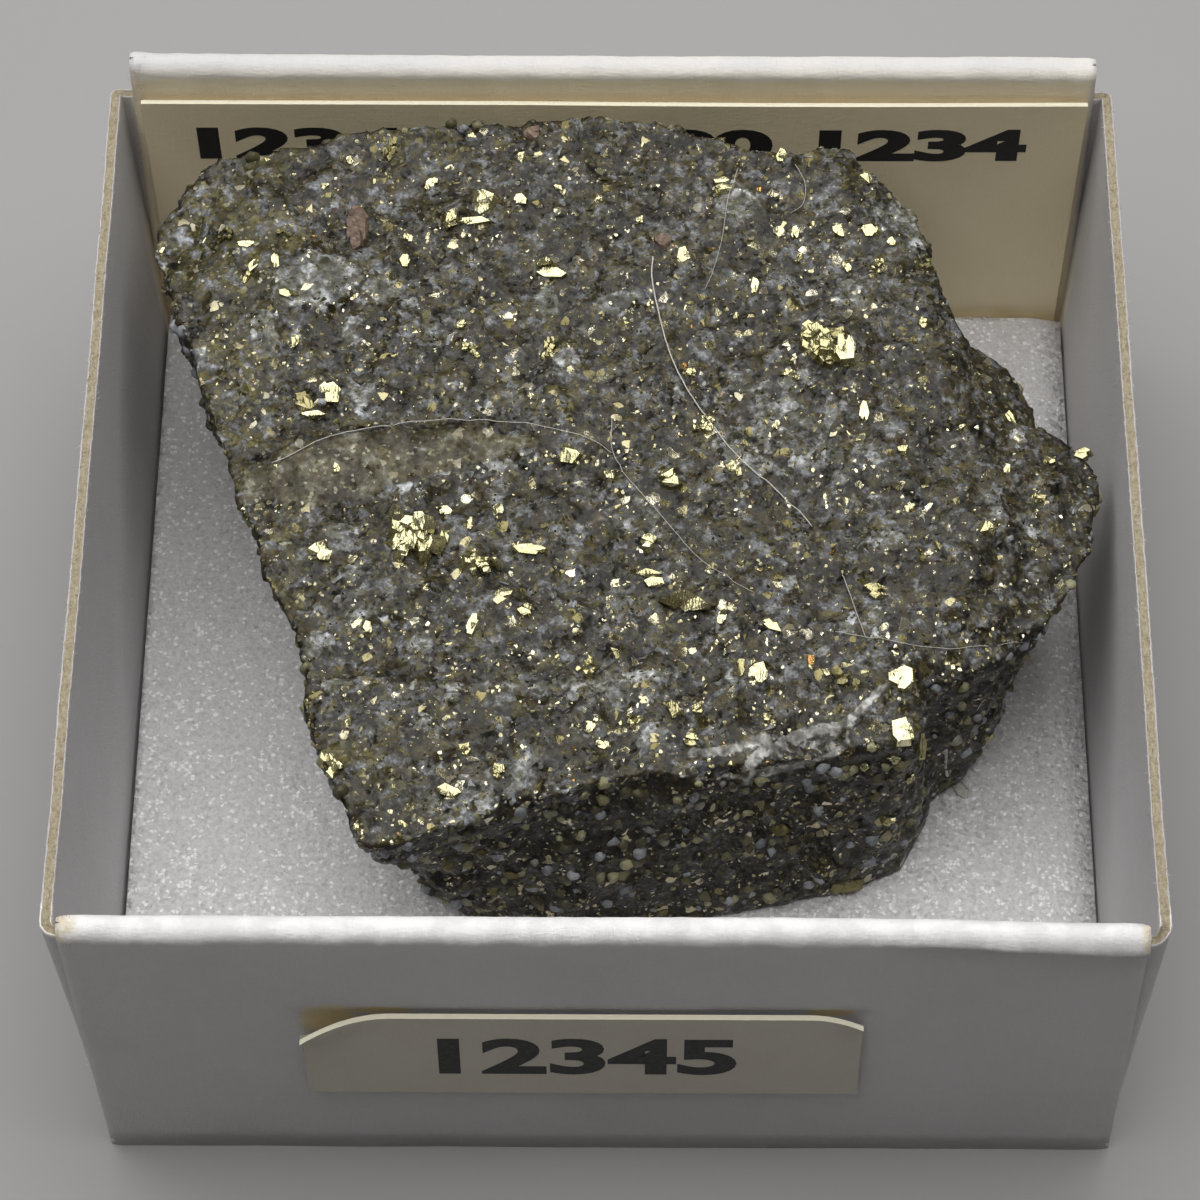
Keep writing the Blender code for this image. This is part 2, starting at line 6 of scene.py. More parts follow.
# %% Load the frame
import json
import math
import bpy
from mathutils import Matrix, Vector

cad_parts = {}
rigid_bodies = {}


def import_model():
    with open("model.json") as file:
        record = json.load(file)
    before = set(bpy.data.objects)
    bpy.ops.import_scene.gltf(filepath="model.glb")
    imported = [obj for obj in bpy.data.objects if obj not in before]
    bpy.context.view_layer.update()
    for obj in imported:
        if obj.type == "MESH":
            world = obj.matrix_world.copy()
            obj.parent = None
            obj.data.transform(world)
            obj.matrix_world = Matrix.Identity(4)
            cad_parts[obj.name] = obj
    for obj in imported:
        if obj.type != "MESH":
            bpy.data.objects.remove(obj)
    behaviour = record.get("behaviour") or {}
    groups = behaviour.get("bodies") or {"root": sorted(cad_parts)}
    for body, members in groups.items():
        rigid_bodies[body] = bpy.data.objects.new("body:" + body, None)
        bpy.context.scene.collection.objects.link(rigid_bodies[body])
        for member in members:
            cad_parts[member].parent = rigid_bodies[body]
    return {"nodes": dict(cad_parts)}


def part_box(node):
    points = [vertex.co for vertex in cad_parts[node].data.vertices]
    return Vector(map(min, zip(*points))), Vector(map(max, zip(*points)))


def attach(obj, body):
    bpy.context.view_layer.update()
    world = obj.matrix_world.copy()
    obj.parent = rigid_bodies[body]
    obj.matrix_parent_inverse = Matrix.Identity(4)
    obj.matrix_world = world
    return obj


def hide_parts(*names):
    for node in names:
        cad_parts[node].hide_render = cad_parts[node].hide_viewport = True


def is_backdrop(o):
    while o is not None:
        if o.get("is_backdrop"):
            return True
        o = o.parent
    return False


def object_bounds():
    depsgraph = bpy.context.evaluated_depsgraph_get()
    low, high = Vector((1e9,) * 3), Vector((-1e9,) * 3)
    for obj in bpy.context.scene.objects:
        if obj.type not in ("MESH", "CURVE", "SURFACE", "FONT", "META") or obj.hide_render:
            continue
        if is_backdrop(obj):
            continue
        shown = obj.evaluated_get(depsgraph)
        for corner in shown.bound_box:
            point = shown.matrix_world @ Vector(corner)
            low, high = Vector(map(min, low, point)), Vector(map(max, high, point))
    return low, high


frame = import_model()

from types import SimpleNamespace

import bmesh
import bpy
import numpy as np
from mathutils import Matrix, Vector, noise
from mathutils.bvhtree import BVHTree

cad_low, cad_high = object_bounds()
nodes = frame["nodes"]
MM = 0.001
print("solid model:", [round(v / MM, 2) for v in (*cad_low, *cad_high)])

# %% [markdown]
# The photograph looks down at the tray from the front. The lens was worked out from the
# tray's own corners, so the camera goes exactly where it stood. The image is square.

# %% Camera
CAMERA_PLACE = Vector((0.886, -101.235, 162.753))
PITCH = math.radians(56.586)
YAW = math.radians(0.7026)
ROLL = math.radians(-0.3824)
SENSOR = 36.0
LENS = 135.95
IMAGE_WIDTH = 1200

camera_data = bpy.data.cameras.new("camera")
camera_data.sensor_width = SENSOR
camera_data.lens = LENS
camera_data.clip_start, camera_data.clip_end = 0.005, 20.0
camera = bpy.data.objects.new("camera", camera_data)
bpy.context.scene.collection.objects.link(camera)
camera_turn = (Matrix.Rotation(YAW, 4, "Z") @ Matrix.Rotation(math.pi / 2 - PITCH, 4, "X")
               @ Matrix.Rotation(ROLL, 4, "Z"))
camera.matrix_world = Matrix.Translation(CAMERA_PLACE * MM) @ camera_turn
bpy.context.scene.camera = camera
print("camera looks down", round(math.degrees(PITCH), 1), "degrees")

# %% [markdown]
# One wide soft light hangs above the tray and a little behind it, as over a copy stand.
# Flat grains that lie level mirror it and flash; the front wall stays in soft shade.

# %% Light
LIGHT_PLACE = Vector((-0.02, 0.05, 0.33))
LIGHT_WIDTH = 0.46
LIGHT_POWER = 1.95
FILL_PLACES = {"left_fill": (-0.45, -0.10, 0.22), "right_fill": (0.45, -0.10, 0.22)}
FILL_WIDTH = 0.2
FILL_POWER = 0.05
LIT_PLACE = Vector((0, 0, 0.01))
SKY_COLOUR = (1.0, 0.985, 0.97, 1.0)
SKY_STRENGTH = 0.02


def soft_light(name, place, width, power):
    """A square area light that faces the tray."""
    data = bpy.data.lights.new(name, "AREA")
    data.shape = "SQUARE"
    data.size = width
    data.energy = power
    light = bpy.data.objects.new(name, data)
    bpy.context.scene.collection.objects.link(light)
    light.location = place
    light.rotation_euler = (LIT_PLACE - Vector(place)).to_track_quat("-Z", "Y").to_euler()


soft_light("overhead_light", LIGHT_PLACE, LIGHT_WIDTH, LIGHT_POWER)
for name, place in FILL_PLACES.items():
    soft_light(name, place, FILL_WIDTH, FILL_POWER)

world = bpy.data.worlds.new("studio")
bpy.context.scene.world = world
world.use_nodes = True
sky = world.node_tree.nodes["Background"].inputs
sky["Color"].default_value = SKY_COLOUR
sky["Strength"].default_value = SKY_STRENGTH
bpy.context.scene.view_settings.view_transform = "Standard"
bpy.context.scene.view_settings.look = "None"
print("overhead light:", LIGHT_WIDTH, "m wide,", LIGHT_POWER, "W")

# %% [markdown]
# Materials are built from nodes. `add` makes a node: a dictionary says what goes into its
# inputs, and the other words are its own settings. The helpers after it wrap the nodes
# that come back again and again, so that a material reads like a recipe.

# %% Node helpers: numbers and vectors
def plug(tree, source, socket):
    """Join an output to an input, or set the input when it is a plain value."""
    if isinstance(source, bpy.types.NodeSocket):
        tree.links.new(source, socket)
    else:
        socket.default_value = source


def add(tree, kind, inputs=None, **settings):
    """A new node; settings are its properties, or inputs that hold a plain value."""
    node = tree.nodes.new(kind)
    for key, value in settings.items():
        if hasattr(node, key):
            setattr(node, key, value)
        else:
            node.inputs[key.replace("_", " ")].default_value = value
    for name, source in (inputs or {}).items():
        plug(tree, source, node.inputs[name])
    return node


def maths(tree, operation, first, second=0.0, third=None):
    """A Math node's result."""
    inputs = {0: first, 1: second}
    if third is not None:
        inputs[2] = third
    return add(tree, "ShaderNodeMath", inputs, operation=operation).outputs[0]


def product(tree, *values):
    """All the values multiplied."""
    result = values[0]
    for value in values[1:]:
        result = maths(tree, "MULTIPLY", result, value)
    return result


def total(tree, *parts):
    """Values added up, each times its weight."""
    (value, weight), *others = reversed(parts)
    result = value if weight == 1 else product(tree, value, weight)
    for value, weight in others:
        result = maths(tree, "MULTIPLY_ADD", value, weight, result)
    return result


def step(tree, value, low, high, start=0.0, end=1.0):
    """Start below low, end above high, eased in between."""
    inputs = {"Value": value, "From Min": low, "From Max": high, "To Min": start, "To Max": end}
    node = add(tree, "ShaderNodeMapRange", inputs, interpolation_type="SMOOTHSTEP")
    return node.outputs["Result"]


def vector(tree, operation, first, second=None, scale=None):
    """A Vector Math node's result."""
    inputs = {0: first, 1: second, "Scale": scale}
    inputs = {name: source for name, source in inputs.items() if source is not None}
    node = add(tree, "ShaderNodeVectorMath", inputs, operation=operation)
    return node.outputs["Value" if operation == "LENGTH" else "Vector"]


def nudged(tree, base, colour, share):
    """A vector moved by a share of a random colour, which is centred on zero first."""
    centred = vector(tree, "SUBTRACT", colour, (0.5, 0.5, 0.5))
    return vector(tree, "ADD", vector(tree, "SCALE", centred, scale=share), base)


def numbers_in(tree, value, kind="Color"):
    """The three numbers of a colour or, with XYZ, of a vector."""
    return add(tree, f"ShaderNodeSeparate{kind}", {0: value}).outputs


print("number helpers ready")

# %% [markdown]
# All patterns are in millimetres, so a number says how fine a pattern is. Values that are
# the same all over a surface are set on the Principled shader's own sockets.

# %% Node helpers: colours, patterns and materials
def mix(tree, share, first, second, kind="RGBA", blend="MIX"):
    """Two colours, numbers (FLOAT) or normals (VECTOR) mixed."""
    socket, result = {"FLOAT": (2, 0), "VECTOR": (4, 1), "RGBA": (6, 2)}[kind]
    inputs = {0: share}
    for value in (first, second):
        inputs[socket] = (*value, 1.0) if isinstance(value, tuple) else value
        socket += 1
    return add(tree, "ShaderNodeMix", inputs, data_type=kind, blend_type=blend).outputs[result]


def shades(tree, value, *stops):
    """A colour ramp; each stop is its place and its red, green and blue."""
    node = add(tree, "ShaderNodeValToRGB", {0: value})
    ramp = node.color_ramp
    while len(ramp.elements) < len(stops):
        ramp.elements.new(0.5)
    for element, (place, *colour) in zip(ramp.elements, stops):
        element.position = place
        element.color = (*colour, 1.0)
    return node.outputs[0]


def cloud(tree, where, per_mm, detail=4.0, roughness=0.55, distortion=0.0, output="Fac"):
    """Noise with a given fineness; output None gives both its value and its colour."""
    outputs = add(tree, "ShaderNodeTexNoise", {"Vector": where}, Scale=per_mm, Detail=detail,
                  Roughness=roughness, Distortion=distortion).outputs
    return outputs[output] if output else outputs


def face_normal(tree):
    """The surface's own normal."""
    return add(tree, "ShaderNodeNewGeometry").outputs["Normal"]


def raised(tree, height, millimetres):
    """The surface's normal after a bump of a given depth."""
    return add(tree, "ShaderNodeBump", {"Height": height, "Normal": face_normal(tree)},
               Strength=1.0, Distance=millimetres * MM).outputs[0]


def value_of(tree, attribute):
    """A number stored on the mesh."""
    return add(tree, "ShaderNodeAttribute", attribute_name=attribute).outputs["Fac"]


def follows(tree, pattern, start, end):
    """A roughness that goes from start to end with a pattern."""
    return step(tree, pattern, 0.3, 0.7, start, end)


def new_material(name, **constants):
    """A Principled material, its tree and its Object coordinates in millimetres."""
    material = bpy.data.materials.new(name)
    material.use_nodes = True
    tree = material.node_tree
    for key, value in constants.items():
        tree.nodes["Principled BSDF"].inputs[key.replace("_", " ")].default_value = value
    place = add(tree, "ShaderNodeTexCoord").outputs["Object"]
    return material, tree, vector(tree, "SCALE", place, scale=1.0 / MM)


def finished(material, **results):
    """The material, with its last results wired into its shader."""
    shader = material.node_tree.nodes["Principled BSDF"]
    for name, source in results.items():
        plug(material.node_tree, source, shader.inputs[name.replace("_", " ")])
    return material


def one_cloud_material(name, noise_values, stops, rough, bump=None, **constants):
    """A plain finish: one cloud gives its colour, its roughness and its bump, if any."""
    material, tree, where = new_material(name, **constants)
    pattern = cloud(tree, where, *noise_values)
    results = {"Normal": raised(tree, pattern, bump)} if bump else {}
    return finished(material, Base_Color=shades(tree, pattern, *stops),
                    Roughness=follows(tree, pattern, *rough), **results)


print("material helpers ready")

# %% [markdown]
# Broken ore sparkles because each tiny crystal has its own flat face. The same effect is
# wanted on the dark rock, on the quartz and on the foam's cells, so it is a shader group:
# every Voronoi cell gets a random tilt, two random values and the distance to its edge.

# %% Shader group: small tilted facets
def new_group(name, inputs, outputs):
    """A shader group with named sockets: its tree, the inside inputs and the outputs."""
    tree = bpy.data.node_groups.new(name, "ShaderNodeTree")
    for in_out, sockets in (("INPUT", inputs), ("OUTPUT", outputs)):
        for label, kind in sockets.items():
            tree.interface.new_socket(label, in_out=in_out, socket_type="NodeSocket" + kind)
    return tree, add(tree, "NodeGroupInput").outputs, add(tree, "NodeGroupOutput").inputs


def make_facet_group():
    """Facets: each cell of crushed crystal faces its own way."""
    tree, given, out = new_group(
        "small facets",
        {"Where": "Vector", "Normal": "Vector", "Per mm": "Float", "Tilt": "Float",
         "Waver": "Float"},
        {"Normal": "Vector", "Grain": "Float", "Second": "Float", "Edge": "Float"})
    wave = cloud(tree, given["Where"], 4.0, 2.0, 0.5, output="Color")
    cells = {"Vector": nudged(tree, given["Where"], wave, given["Waver"]),
             "Scale": given["Per mm"]}
    grain = add(tree, "ShaderNodeTexVoronoi", cells).outputs["Color"]
    border = add(tree, "ShaderNodeTexVoronoi", cells, feature="DISTANCE_TO_EDGE")
    tilted = vector(tree, "NORMALIZE", nudged(tree, given["Normal"], grain, given["Tilt"]))
    first, second, _ = numbers_in(tree, grain)
    for name, source in (("Normal", tilted), ("Grain", first), ("Second", second),
                         ("Edge", border.outputs["Distance"])):
        plug(tree, source, out[name])
    return tree


FACETS = make_facet_group()


def facets(tree, where, normal, per_mm, tilt, waver):
    """The facet group placed in a material."""
    inputs = {"Where": where, "Normal": normal, "Per mm": per_mm, "Tilt": tilt, "Waver": waver}
    return add(tree, "ShaderNodeGroup", inputs, node_tree=FACETS).outputs


print("facet group:", [item.name for item in FACETS.interface.items_tree])

# %% [markdown]
# The ore is a dark, slightly olive mass. Its gloss comes from the wide light above, so
# the colours are darker than they look. Three noises make its clouds, a fourth gives
# three minerals their own places, and the facet group is used at four sizes.

# %% Ore: patterns and ground
def ore_patterns(tree, where):
    """The clouds and facets that every layer of the ore is made from."""
    blobs = cloud(tree, where, 0.85, 5.0, 0.6, 0.4)
    mottle = cloud(tree, where, 3.2, 4.0, 0.58, 0.3)
    fine = cloud(tree, where, 9.0, 3.0, 0.6)
    minerals = cloud(tree, where, 1.8, 3.0, 0.55, 0.5, output=None)
    grey, olive, brown = numbers_in(tree, minerals["Color"])
    uneven = raised(tree, total(tree, (fine, 0.2), (mottle, 1)), 0.045)
    coarse = facets(tree, where, uneven, 1.9, 0.20, 0.3)
    return SimpleNamespace(
        blobs=blobs, mottle=mottle, fine=fine, grey=grey, olive=olive, brown=brown,
        glue=minerals["Fac"], coarse=coarse,
        middle=facets(tree, where, coarse["Normal"], 5.6, 0.42, 0.18),
        speck=facets(tree, where, uneven, 2.7, 0.6, 0.16),
        small=facets(tree, where, uneven, 7.5, 0.75, 0.05))


def ore_ground(tree, seen):
    """Dark ground, then brown, olive and blue-grey grains, each from its own noise."""
    tone = shades(tree, total(tree, (seen.middle["Grain"], 0.35), (seen.mottle, 0.7)),
                  (0.36, 0.009, 0.007, 0.004), (0.5, 0.020, 0.017, 0.010),
                  (0.62, 0.046, 0.041, 0.030), (0.74, 0.13, 0.125, 0.105))
    brown = step(tree, seen.brown, 0.52, 0.60, 0.0, 0.8)
    tone = mix(tree, brown, tone, (0.055, 0.040, 0.018))
    olive_field = total(tree, (value_of(tree, "olive"), 0.16), (seen.olive, 1))
    olive = shades(tree, seen.middle["Second"], (0.0, 0.034, 0.028, 0.008),
                   (0.6, 0.074, 0.063, 0.022), (1.0, 0.175, 0.152, 0.062))
    tone = mix(tree, step(tree, olive_field, 0.48, 0.65, 0.0, 0.9), tone, olive)
    grey_field = total(tree, (seen.blobs, 0.5), (seen.grey, 1))
    haze = shades(tree, total(tree, (seen.fine, 0.5), (seen.mottle, 0.5)),
                  (0.38, 0.055, 0.057, 0.056), (0.5, 0.125, 0.128, 0.130),
                  (0.62, 0.285, 0.292, 0.302))
    return mix(tree, step(tree, grey_field, 0.78, 0.91, 0.0, 0.95), tone, haze)


print("ore ground ready")

# %% [markdown]
# Masks stored on the mesh say where quartz, the olive lens, the white frosting and the
# film of dried glue lie. A noise added to each mask makes its edge ragged.

# %% Ore: quartz, lens, frost and glue
def with_quartz(tree, seen, tone):
    """The tone with quartz grains, and where they are."""
    field = total(tree, (seen.mottle, 0.35), (value_of(tree, "quartz"), 0.62),
                  (maths(tree, "ADD", seen.grey, seen.coarse["Second"]), 0.4))
    quartz = step(tree, field, 0.82, 1.02)
    milk = shades(tree, total(tree, (seen.mottle, 0.8), (seen.coarse["Grain"], 0.2)),
                  (0.36, 0.070, 0.068, 0.040), (0.48, 0.15, 0.148, 0.118),
                  (0.58, 0.30, 0.305, 0.295), (0.68, 0.60, 0.61, 0.62))
    return mix(tree, quartz, tone, milk), quartz


def with_lens(tree, seen, tone):
    """The tone with the glassy olive lens."""
    glassy = shades(tree, total(tree, (seen.mottle, 0.5), (seen.blobs, 0.5)),
                    (0.36, 0.034, 0.027, 0.010), (0.47, 0.078, 0.067, 0.029),
                    (0.56, 0.145, 0.135, 0.080), (0.66, 0.30, 0.305, 0.265))
    brown = step(tree, seen.brown, 0.44, 0.58, 0.0, 0.6)
    glassy = mix(tree, brown, glassy, (0.070, 0.050, 0.020))
    field = total(tree, (value_of(tree, "lens"), 0.6),
                  (maths(tree, "ADD", seen.olive, seen.mottle), 0.5))
    return mix(tree, step(tree, field, 0.84, 1.06, 0.0, 0.88), tone, glassy)


def with_frost(tree, seen, tone):
    """The tone with white frosting."""
    field = total(tree, (seen.grey, 1.6), (value_of(tree, "frost"), 1))
    white = shades(tree, seen.small["Grain"], (0.0, 0.22, 0.23, 0.25),
                   (0.6, 0.42, 0.44, 0.47), (1.0, 0.78, 0.80, 0.83))
    return mix(tree, step(tree, field, 1.26, 1.78, 0.0, 0.95), tone, white)


def with_glue(tree, seen, tone):
    """The tone with dried glue, and where it is."""
    field = total(tree, (maths(tree, "SUBTRACT", seen.mottle, 0.5), 2.4),
                  (value_of(tree, "film"), 1))
    film = step(tree, field, 0.32, 0.86, 0.0, 0.92)
    glue = shades(tree, seen.glue, (0.38, 0.14, 0.135, 0.115),
                  (0.5, 0.34, 0.33, 0.30), (0.6, 0.66, 0.65, 0.61))
    return mix(tree, film, tone, glue), film


print("ore layers ready")

# %% [markdown]
# Last come the flush gold specks, which mirror the light on their own tilted faces:
# whole small cells and tiny bright points. The steep sides are painted darker: painted
# shade where they turn away from the light above.

# %% Ore: gold specks and finish
DARKNESS = 0.75
LOW_DARKNESS, HIGH_DARKNESS = 0.62 * DARKNESS, 1.5 * DARKNESS
# How much darker the steep sides are painted: painted shade.
SIDE_PAINTED_SHADE = 0.5
GOLD_METALLIC = 0.85


def make_ore():
    """Dark rock with cloudy quartz and flush gold specks."""
    material, tree, where = new_material("ore", IOR=1.5, Specular_IOR_Level=0.32)
    seen = ore_patterns(tree, where)
    speck, small = seen.speck, seen.small
    tone, quartz = with_quartz(tree, seen, ore_ground(tree, seen))
    tone = with_frost(tree, seen, with_lens(tree, seen, tone))
    tone, film = with_glue(tree, seen, tone)
    depth = step(tree, seen.blobs, 0.38, 0.64)
    depth = mix(tree, depth, (LOW_DARKNESS,) * 3, (HIGH_DARKNESS,) * 3)
    tone = mix(tree, 1.0, tone, depth, blend="MULTIPLY")
    # Steep faces are painted darker: painted shade on the sides that turn from the light above.
    steep = value_of(tree, "steep_room")
    tone = mix(tree, steep, tone, (SIDE_PAINTED_SHADE,) * 3, blend="MULTIPLY")

    ragged = total(tree, (seen.mottle, 0.16), (speck["Edge"], 0.6))
    patch = product(tree, step(tree, speck["Grain"], 0.935, 0.94),
                    step(tree, ragged, 0.115, 0.14))
    point = product(tree, step(tree, small["Second"], 0.905, 0.91),
                    step(tree, small["Edge"], 0.03, 0.08))
    gold = product(tree, maths(tree, "MAXIMUM", patch, point), value_of(tree, "metal"),
                   maths(tree, "SUBTRACT", 1.0, film))
    brass = shades(tree, speck["Second"], (0.0, 0.09, 0.075, 0.03), (0.3, 0.20, 0.175, 0.08),
                   (0.6, 0.52, 0.47, 0.29), (1.0, 0.78, 0.73, 0.56))

    rough = mix(tree, quartz, follows(tree, seen.mottle, 0.46, 0.28), 0.26, "FLOAT")
    bright = mix(tree, patch, small["Normal"], speck["Normal"], "VECTOR")
    return finished(
        material, Base_Color=mix(tree, gold, tone, brass),
        Roughness=mix(tree, gold, rough, 0.22, "FLOAT"),
        Normal=mix(tree, gold, seen.middle["Normal"], bright, "VECTOR"),
        Metallic=product(tree, gold, GOLD_METALLIC))


ORE = make_ore()
print("ore nodes:", len(ORE.node_tree.nodes))

# %% [markdown]
# Pyrite is pale brass: a metal with a warm grey-yellow reflection. Fresh faces are
# bright, weathered ones dull olive, and a few are stained orange. Each grain carries its
# own `tone` number on the mesh, which picks its colour and its polish.

# %% Pyrite material
def make_pyrite():
    """Brassy crystal faces with fine steps and pits."""
    material, tree, where = new_material("pyrite", Metallic=0.85)
    tone = value_of(tree, "tone")
    colour = shades(tree, tone, (0.0, 0.085, 0.072, 0.028), (0.12, 0.17, 0.150, 0.066),
                    (0.35, 0.32, 0.285, 0.14), (0.65, 0.49, 0.45, 0.24),
                    (0.95, 0.68, 0.635, 0.39), (0.97, 0.48, 0.29, 0.10),
                    (1.0, 0.36, 0.19, 0.06))
    blotch = cloud(tree, where, 4.5, 4.0, 0.6)
    colour = mix(tree, step(tree, blotch, 0.52, 0.70, 0.0, 0.6), colour, (0.12, 0.10, 0.045))
    ridges = add(tree, "ShaderNodeTexWave", {"Vector": where}, Scale=2.6, Distortion=6.0,
                 Detail=2.0, Detail_Scale=1.5).outputs["Fac"]
    height = total(tree, (ridges, 0.35), (cloud(tree, where, 7.0, 3.0), 1))
    face = facets(tree, where, raised(tree, height, 0.016), 2.8, 0.24, 0.2)
    polish = step(tree, tone, 0.05, 0.5, 0.42, 0.18)
    return finished(material, Base_Color=colour, Normal=face["Normal"],
                    Roughness=total(tree, (blotch, 0.12), (polish, 1)))


PYRITE = make_pyrite()
print("pyrite nodes:", len(PYRITE.node_tree.nodes))

# %% [markdown]
# Quartz grains are glassy but cloudy: light goes in, scatters on tiny cracks and comes
# back milky. Part transmission over a pale base gives that without a slow volume.

# %% Quartz material
def make_quartz():
    """Cloudy glassy shards."""
    material, tree, where = new_material("quartz", IOR=1.54, Transmission_Weight=0.4)
    cracks = cloud(tree, where, 2.2, 6.0, 0.65, 0.6)
    pale = shades(tree, value_of(tree, "tone"), (0.0, 0.16, 0.165, 0.15),
                  (0.4, 0.28, 0.29, 0.29), (0.75, 0.40, 0.42, 0.43), (0.9, 0.60, 0.62, 0.63),
                  (1.0, 0.36, 0.33, 0.22))
    milky = mix(tree, step(tree, cracks, 0.5, 0.72), pale, (0.66, 0.69, 0.72))
    flaws = step(tree, cracks, 0.42, 0.28, 0.0, 0.7)
    face = facets(tree, where, raised(tree, cracks, 0.08), 3.4, 0.4, 0.15)
    return finished(material, Base_Color=mix(tree, flaws, milky, (0.08, 0.08, 0.065)),
                    Roughness=follows(tree, cracks, 0.16, 0.42), Normal=face["Normal"])


QUARTZ = make_quartz()
print("quartz nodes:", len(QUARTZ.node_tree.nodes))

# %% [markdown]
# On the broken front face the grains are weathered: round pebbles of dull olive pyrite
# and blue-grey quartz in nearly black rock. They no longer look like metal.

# %% Weathered grain material
def make_weathered():
    """Dull olive to blue-grey pebbles."""
    material, tree, where = new_material("weathered_grain", IOR=1.5)
    blotch = cloud(tree, where, 3.5, 5.0, 0.65)
    colour = shades(tree, value_of(tree, "tone"), (0.0, 0.035, 0.030, 0.014),
                    (0.3, 0.085, 0.077, 0.034), (0.55, 0.21, 0.195, 0.10),
                    (0.75, 0.34, 0.32, 0.18), (0.8, 0.17, 0.18, 0.19), (1.0, 0.36, 0.37, 0.39))
    dark = step(tree, blotch, 0.5, 0.68, 0.0, 0.6)
    face = facets(tree, where, raised(tree, blotch, 0.08), 5.0, 0.4, 0.1)
    return finished(material, Base_Color=mix(tree, dark, colour, (0.045, 0.040, 0.018)),
                    Roughness=follows(tree, blotch, 0.25, 0.5), Normal=face["Normal"])


WEATHERED = make_weathered()
print("weathered nodes:", len(WEATHERED.node_tree.nodes))

# %% [markdown]
# Every mesh is made in millimetres, because numbers such as 0.3 are easier to read than
# 0.0003, and then shrunk into metres. A finished piece sits at the origin, unturned.

# %% Mesh helpers
def linked(name, mesh):
    """A mesh as an object in the scene."""
    piece = bpy.data.objects.new(name, mesh)
    bpy.context.scene.collection.objects.link(piece)
    return piece


def mesh_from(bm, name):
    """A bmesh as a named mesh."""
    mesh = bpy.data.meshes.new(name)
    bm.to_mesh(mesh)
    bm.free()
    return mesh


def turn_outwards(mesh, merge_distance=None):
    """Point all faces outwards, after points closer than a distance are merged."""
    bm = bmesh.new()
    bm.from_mesh(mesh)
    if merge_distance is not None:
        bmesh.ops.remove_doubles(bm, verts=bm.verts, dist=merge_distance)
    bmesh.ops.recalc_face_normals(bm, faces=bm.faces)
    bm.to_mesh(mesh)
    bm.free()


def shade(mesh, smooth):
    """Smooth or flat shading all over."""
    mesh.polygons.foreach_set("use_smooth", [smooth] * len(mesh.polygons))


def mesh_object(name, points, faces, materials, face_material=None, smooth=False, closed=True):
    """An object from points in millimetres."""
    mesh = bpy.data.meshes.new(name)
    mesh.from_pydata((np.asarray(points, float) * MM).tolist(), [], faces)
    for material in materials:
        mesh.materials.append(material)
    if face_material is not None:
        mesh.polygons.foreach_set("material_index", face_material)
    shade(mesh, smooth)
    if closed:
        turn_outwards(mesh)
    mesh.update()
    return linked(name, mesh)


def evaluated_copy(source, name):
    """What an object's modifiers make, as a plain mesh object."""
    depsgraph = bpy.context.evaluated_depsgraph_get()
    mesh = bpy.data.meshes.new_from_object(source.evaluated_get(depsgraph))
    mesh.name = name
    return linked(name, mesh)


def discard(piece):
    """Remove a helper object."""
    bpy.data.objects.remove(piece, do_unlink=True)


def coat(mesh, material):
    """Give a mesh one material and no other."""
    mesh.materials.clear()
    mesh.materials.append(material)


print("mesh helpers ready")

# %% [markdown]
# Whole arrays of numbers go in and out of a mesh, which is fast for many points.
# `keep_piece` says how a finished piece belongs to the object.

# %% Array helpers and the finished piece
def vectors_of(mesh, key):
    """A mesh's points (co) or normals (normal) as rows of numbers."""
    flat = np.zeros(len(mesh.vertices) * 3, np.float32)
    mesh.vertices.foreach_get(key, flat)
    return flat.reshape(-1, 3).astype(float)


def set_points(mesh, points):
    """Put points in millimetres back into a mesh."""
    mesh.vertices.foreach_set("co", (points * MM).astype(np.float32).ravel())
    mesh.update()


def store(mesh, name, values):
    """Keep one number for each point of a mesh."""
    attribute = mesh.attributes.new(name, "FLOAT", "POINT")
    attribute.data.foreach_set("value", np.asarray(values, np.float32))


def keep_piece(piece, slot, *replaced):
    """The piece moves with the object and may stand for solids; slot is not used."""
    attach(piece, "root")
    if replaced:
        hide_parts(*replaced)
    count = sum(len(face.vertices) - 2 for face in piece.data.polygons)
    print(f"{piece.name}: {count} triangles")


def eased(value, low, high):
    """A smooth step for arrays: 0 below low, 1 above high."""
    share = np.clip((value - low) / (high - low), 0.0, 1.0)
    return share * share * (3 - 2 * share)


def rough_line(values, seed):
    """Smooth noise along a row of numbers, between about -1 and 1."""
    return np.array([noise.fractal(Vector((v, seed * 7.7, seed * 3.1)), 1.0, 2.0, 3)
                     for v in values])


print("array helpers ready")

# %% [markdown]
# The rock starts from the solid model, so its outline and lumps are already right. A
# voxel remesh turns its big triangles into an even skin fine enough to carve. Smoothing
# takes away the old triangle edges; each round also pushes back out, so nothing shrinks.

# %% Rock: an even skin
SKIN_VOXEL = 0.197
SMOOTHING_ROUNDS = 9
PULL_IN, PUSH_OUT = 0.5, -0.53
SAME_POINT = 0.00001


def remeshed_rock():
    """The solid rock with an even skin of small faces, in millimetres."""
    bm = bmesh.new()
    bm.from_mesh(nodes["specimen"].data)
    bmesh.ops.remove_doubles(bm, verts=bm.verts, dist=SAME_POINT)
    bmesh.ops.scale(bm, vec=(1 / MM, 1 / MM, 1 / MM), verts=bm.verts)
    start = linked("rock start", mesh_from(bm, "rock start"))
    remesh = start.modifiers.new("skin", "REMESH")
    remesh.mode = "VOXEL"
    remesh.voxel_size = SKIN_VOXEL
    rock = evaluated_copy(start, "ore_rock")
    discard(start)
    return rock


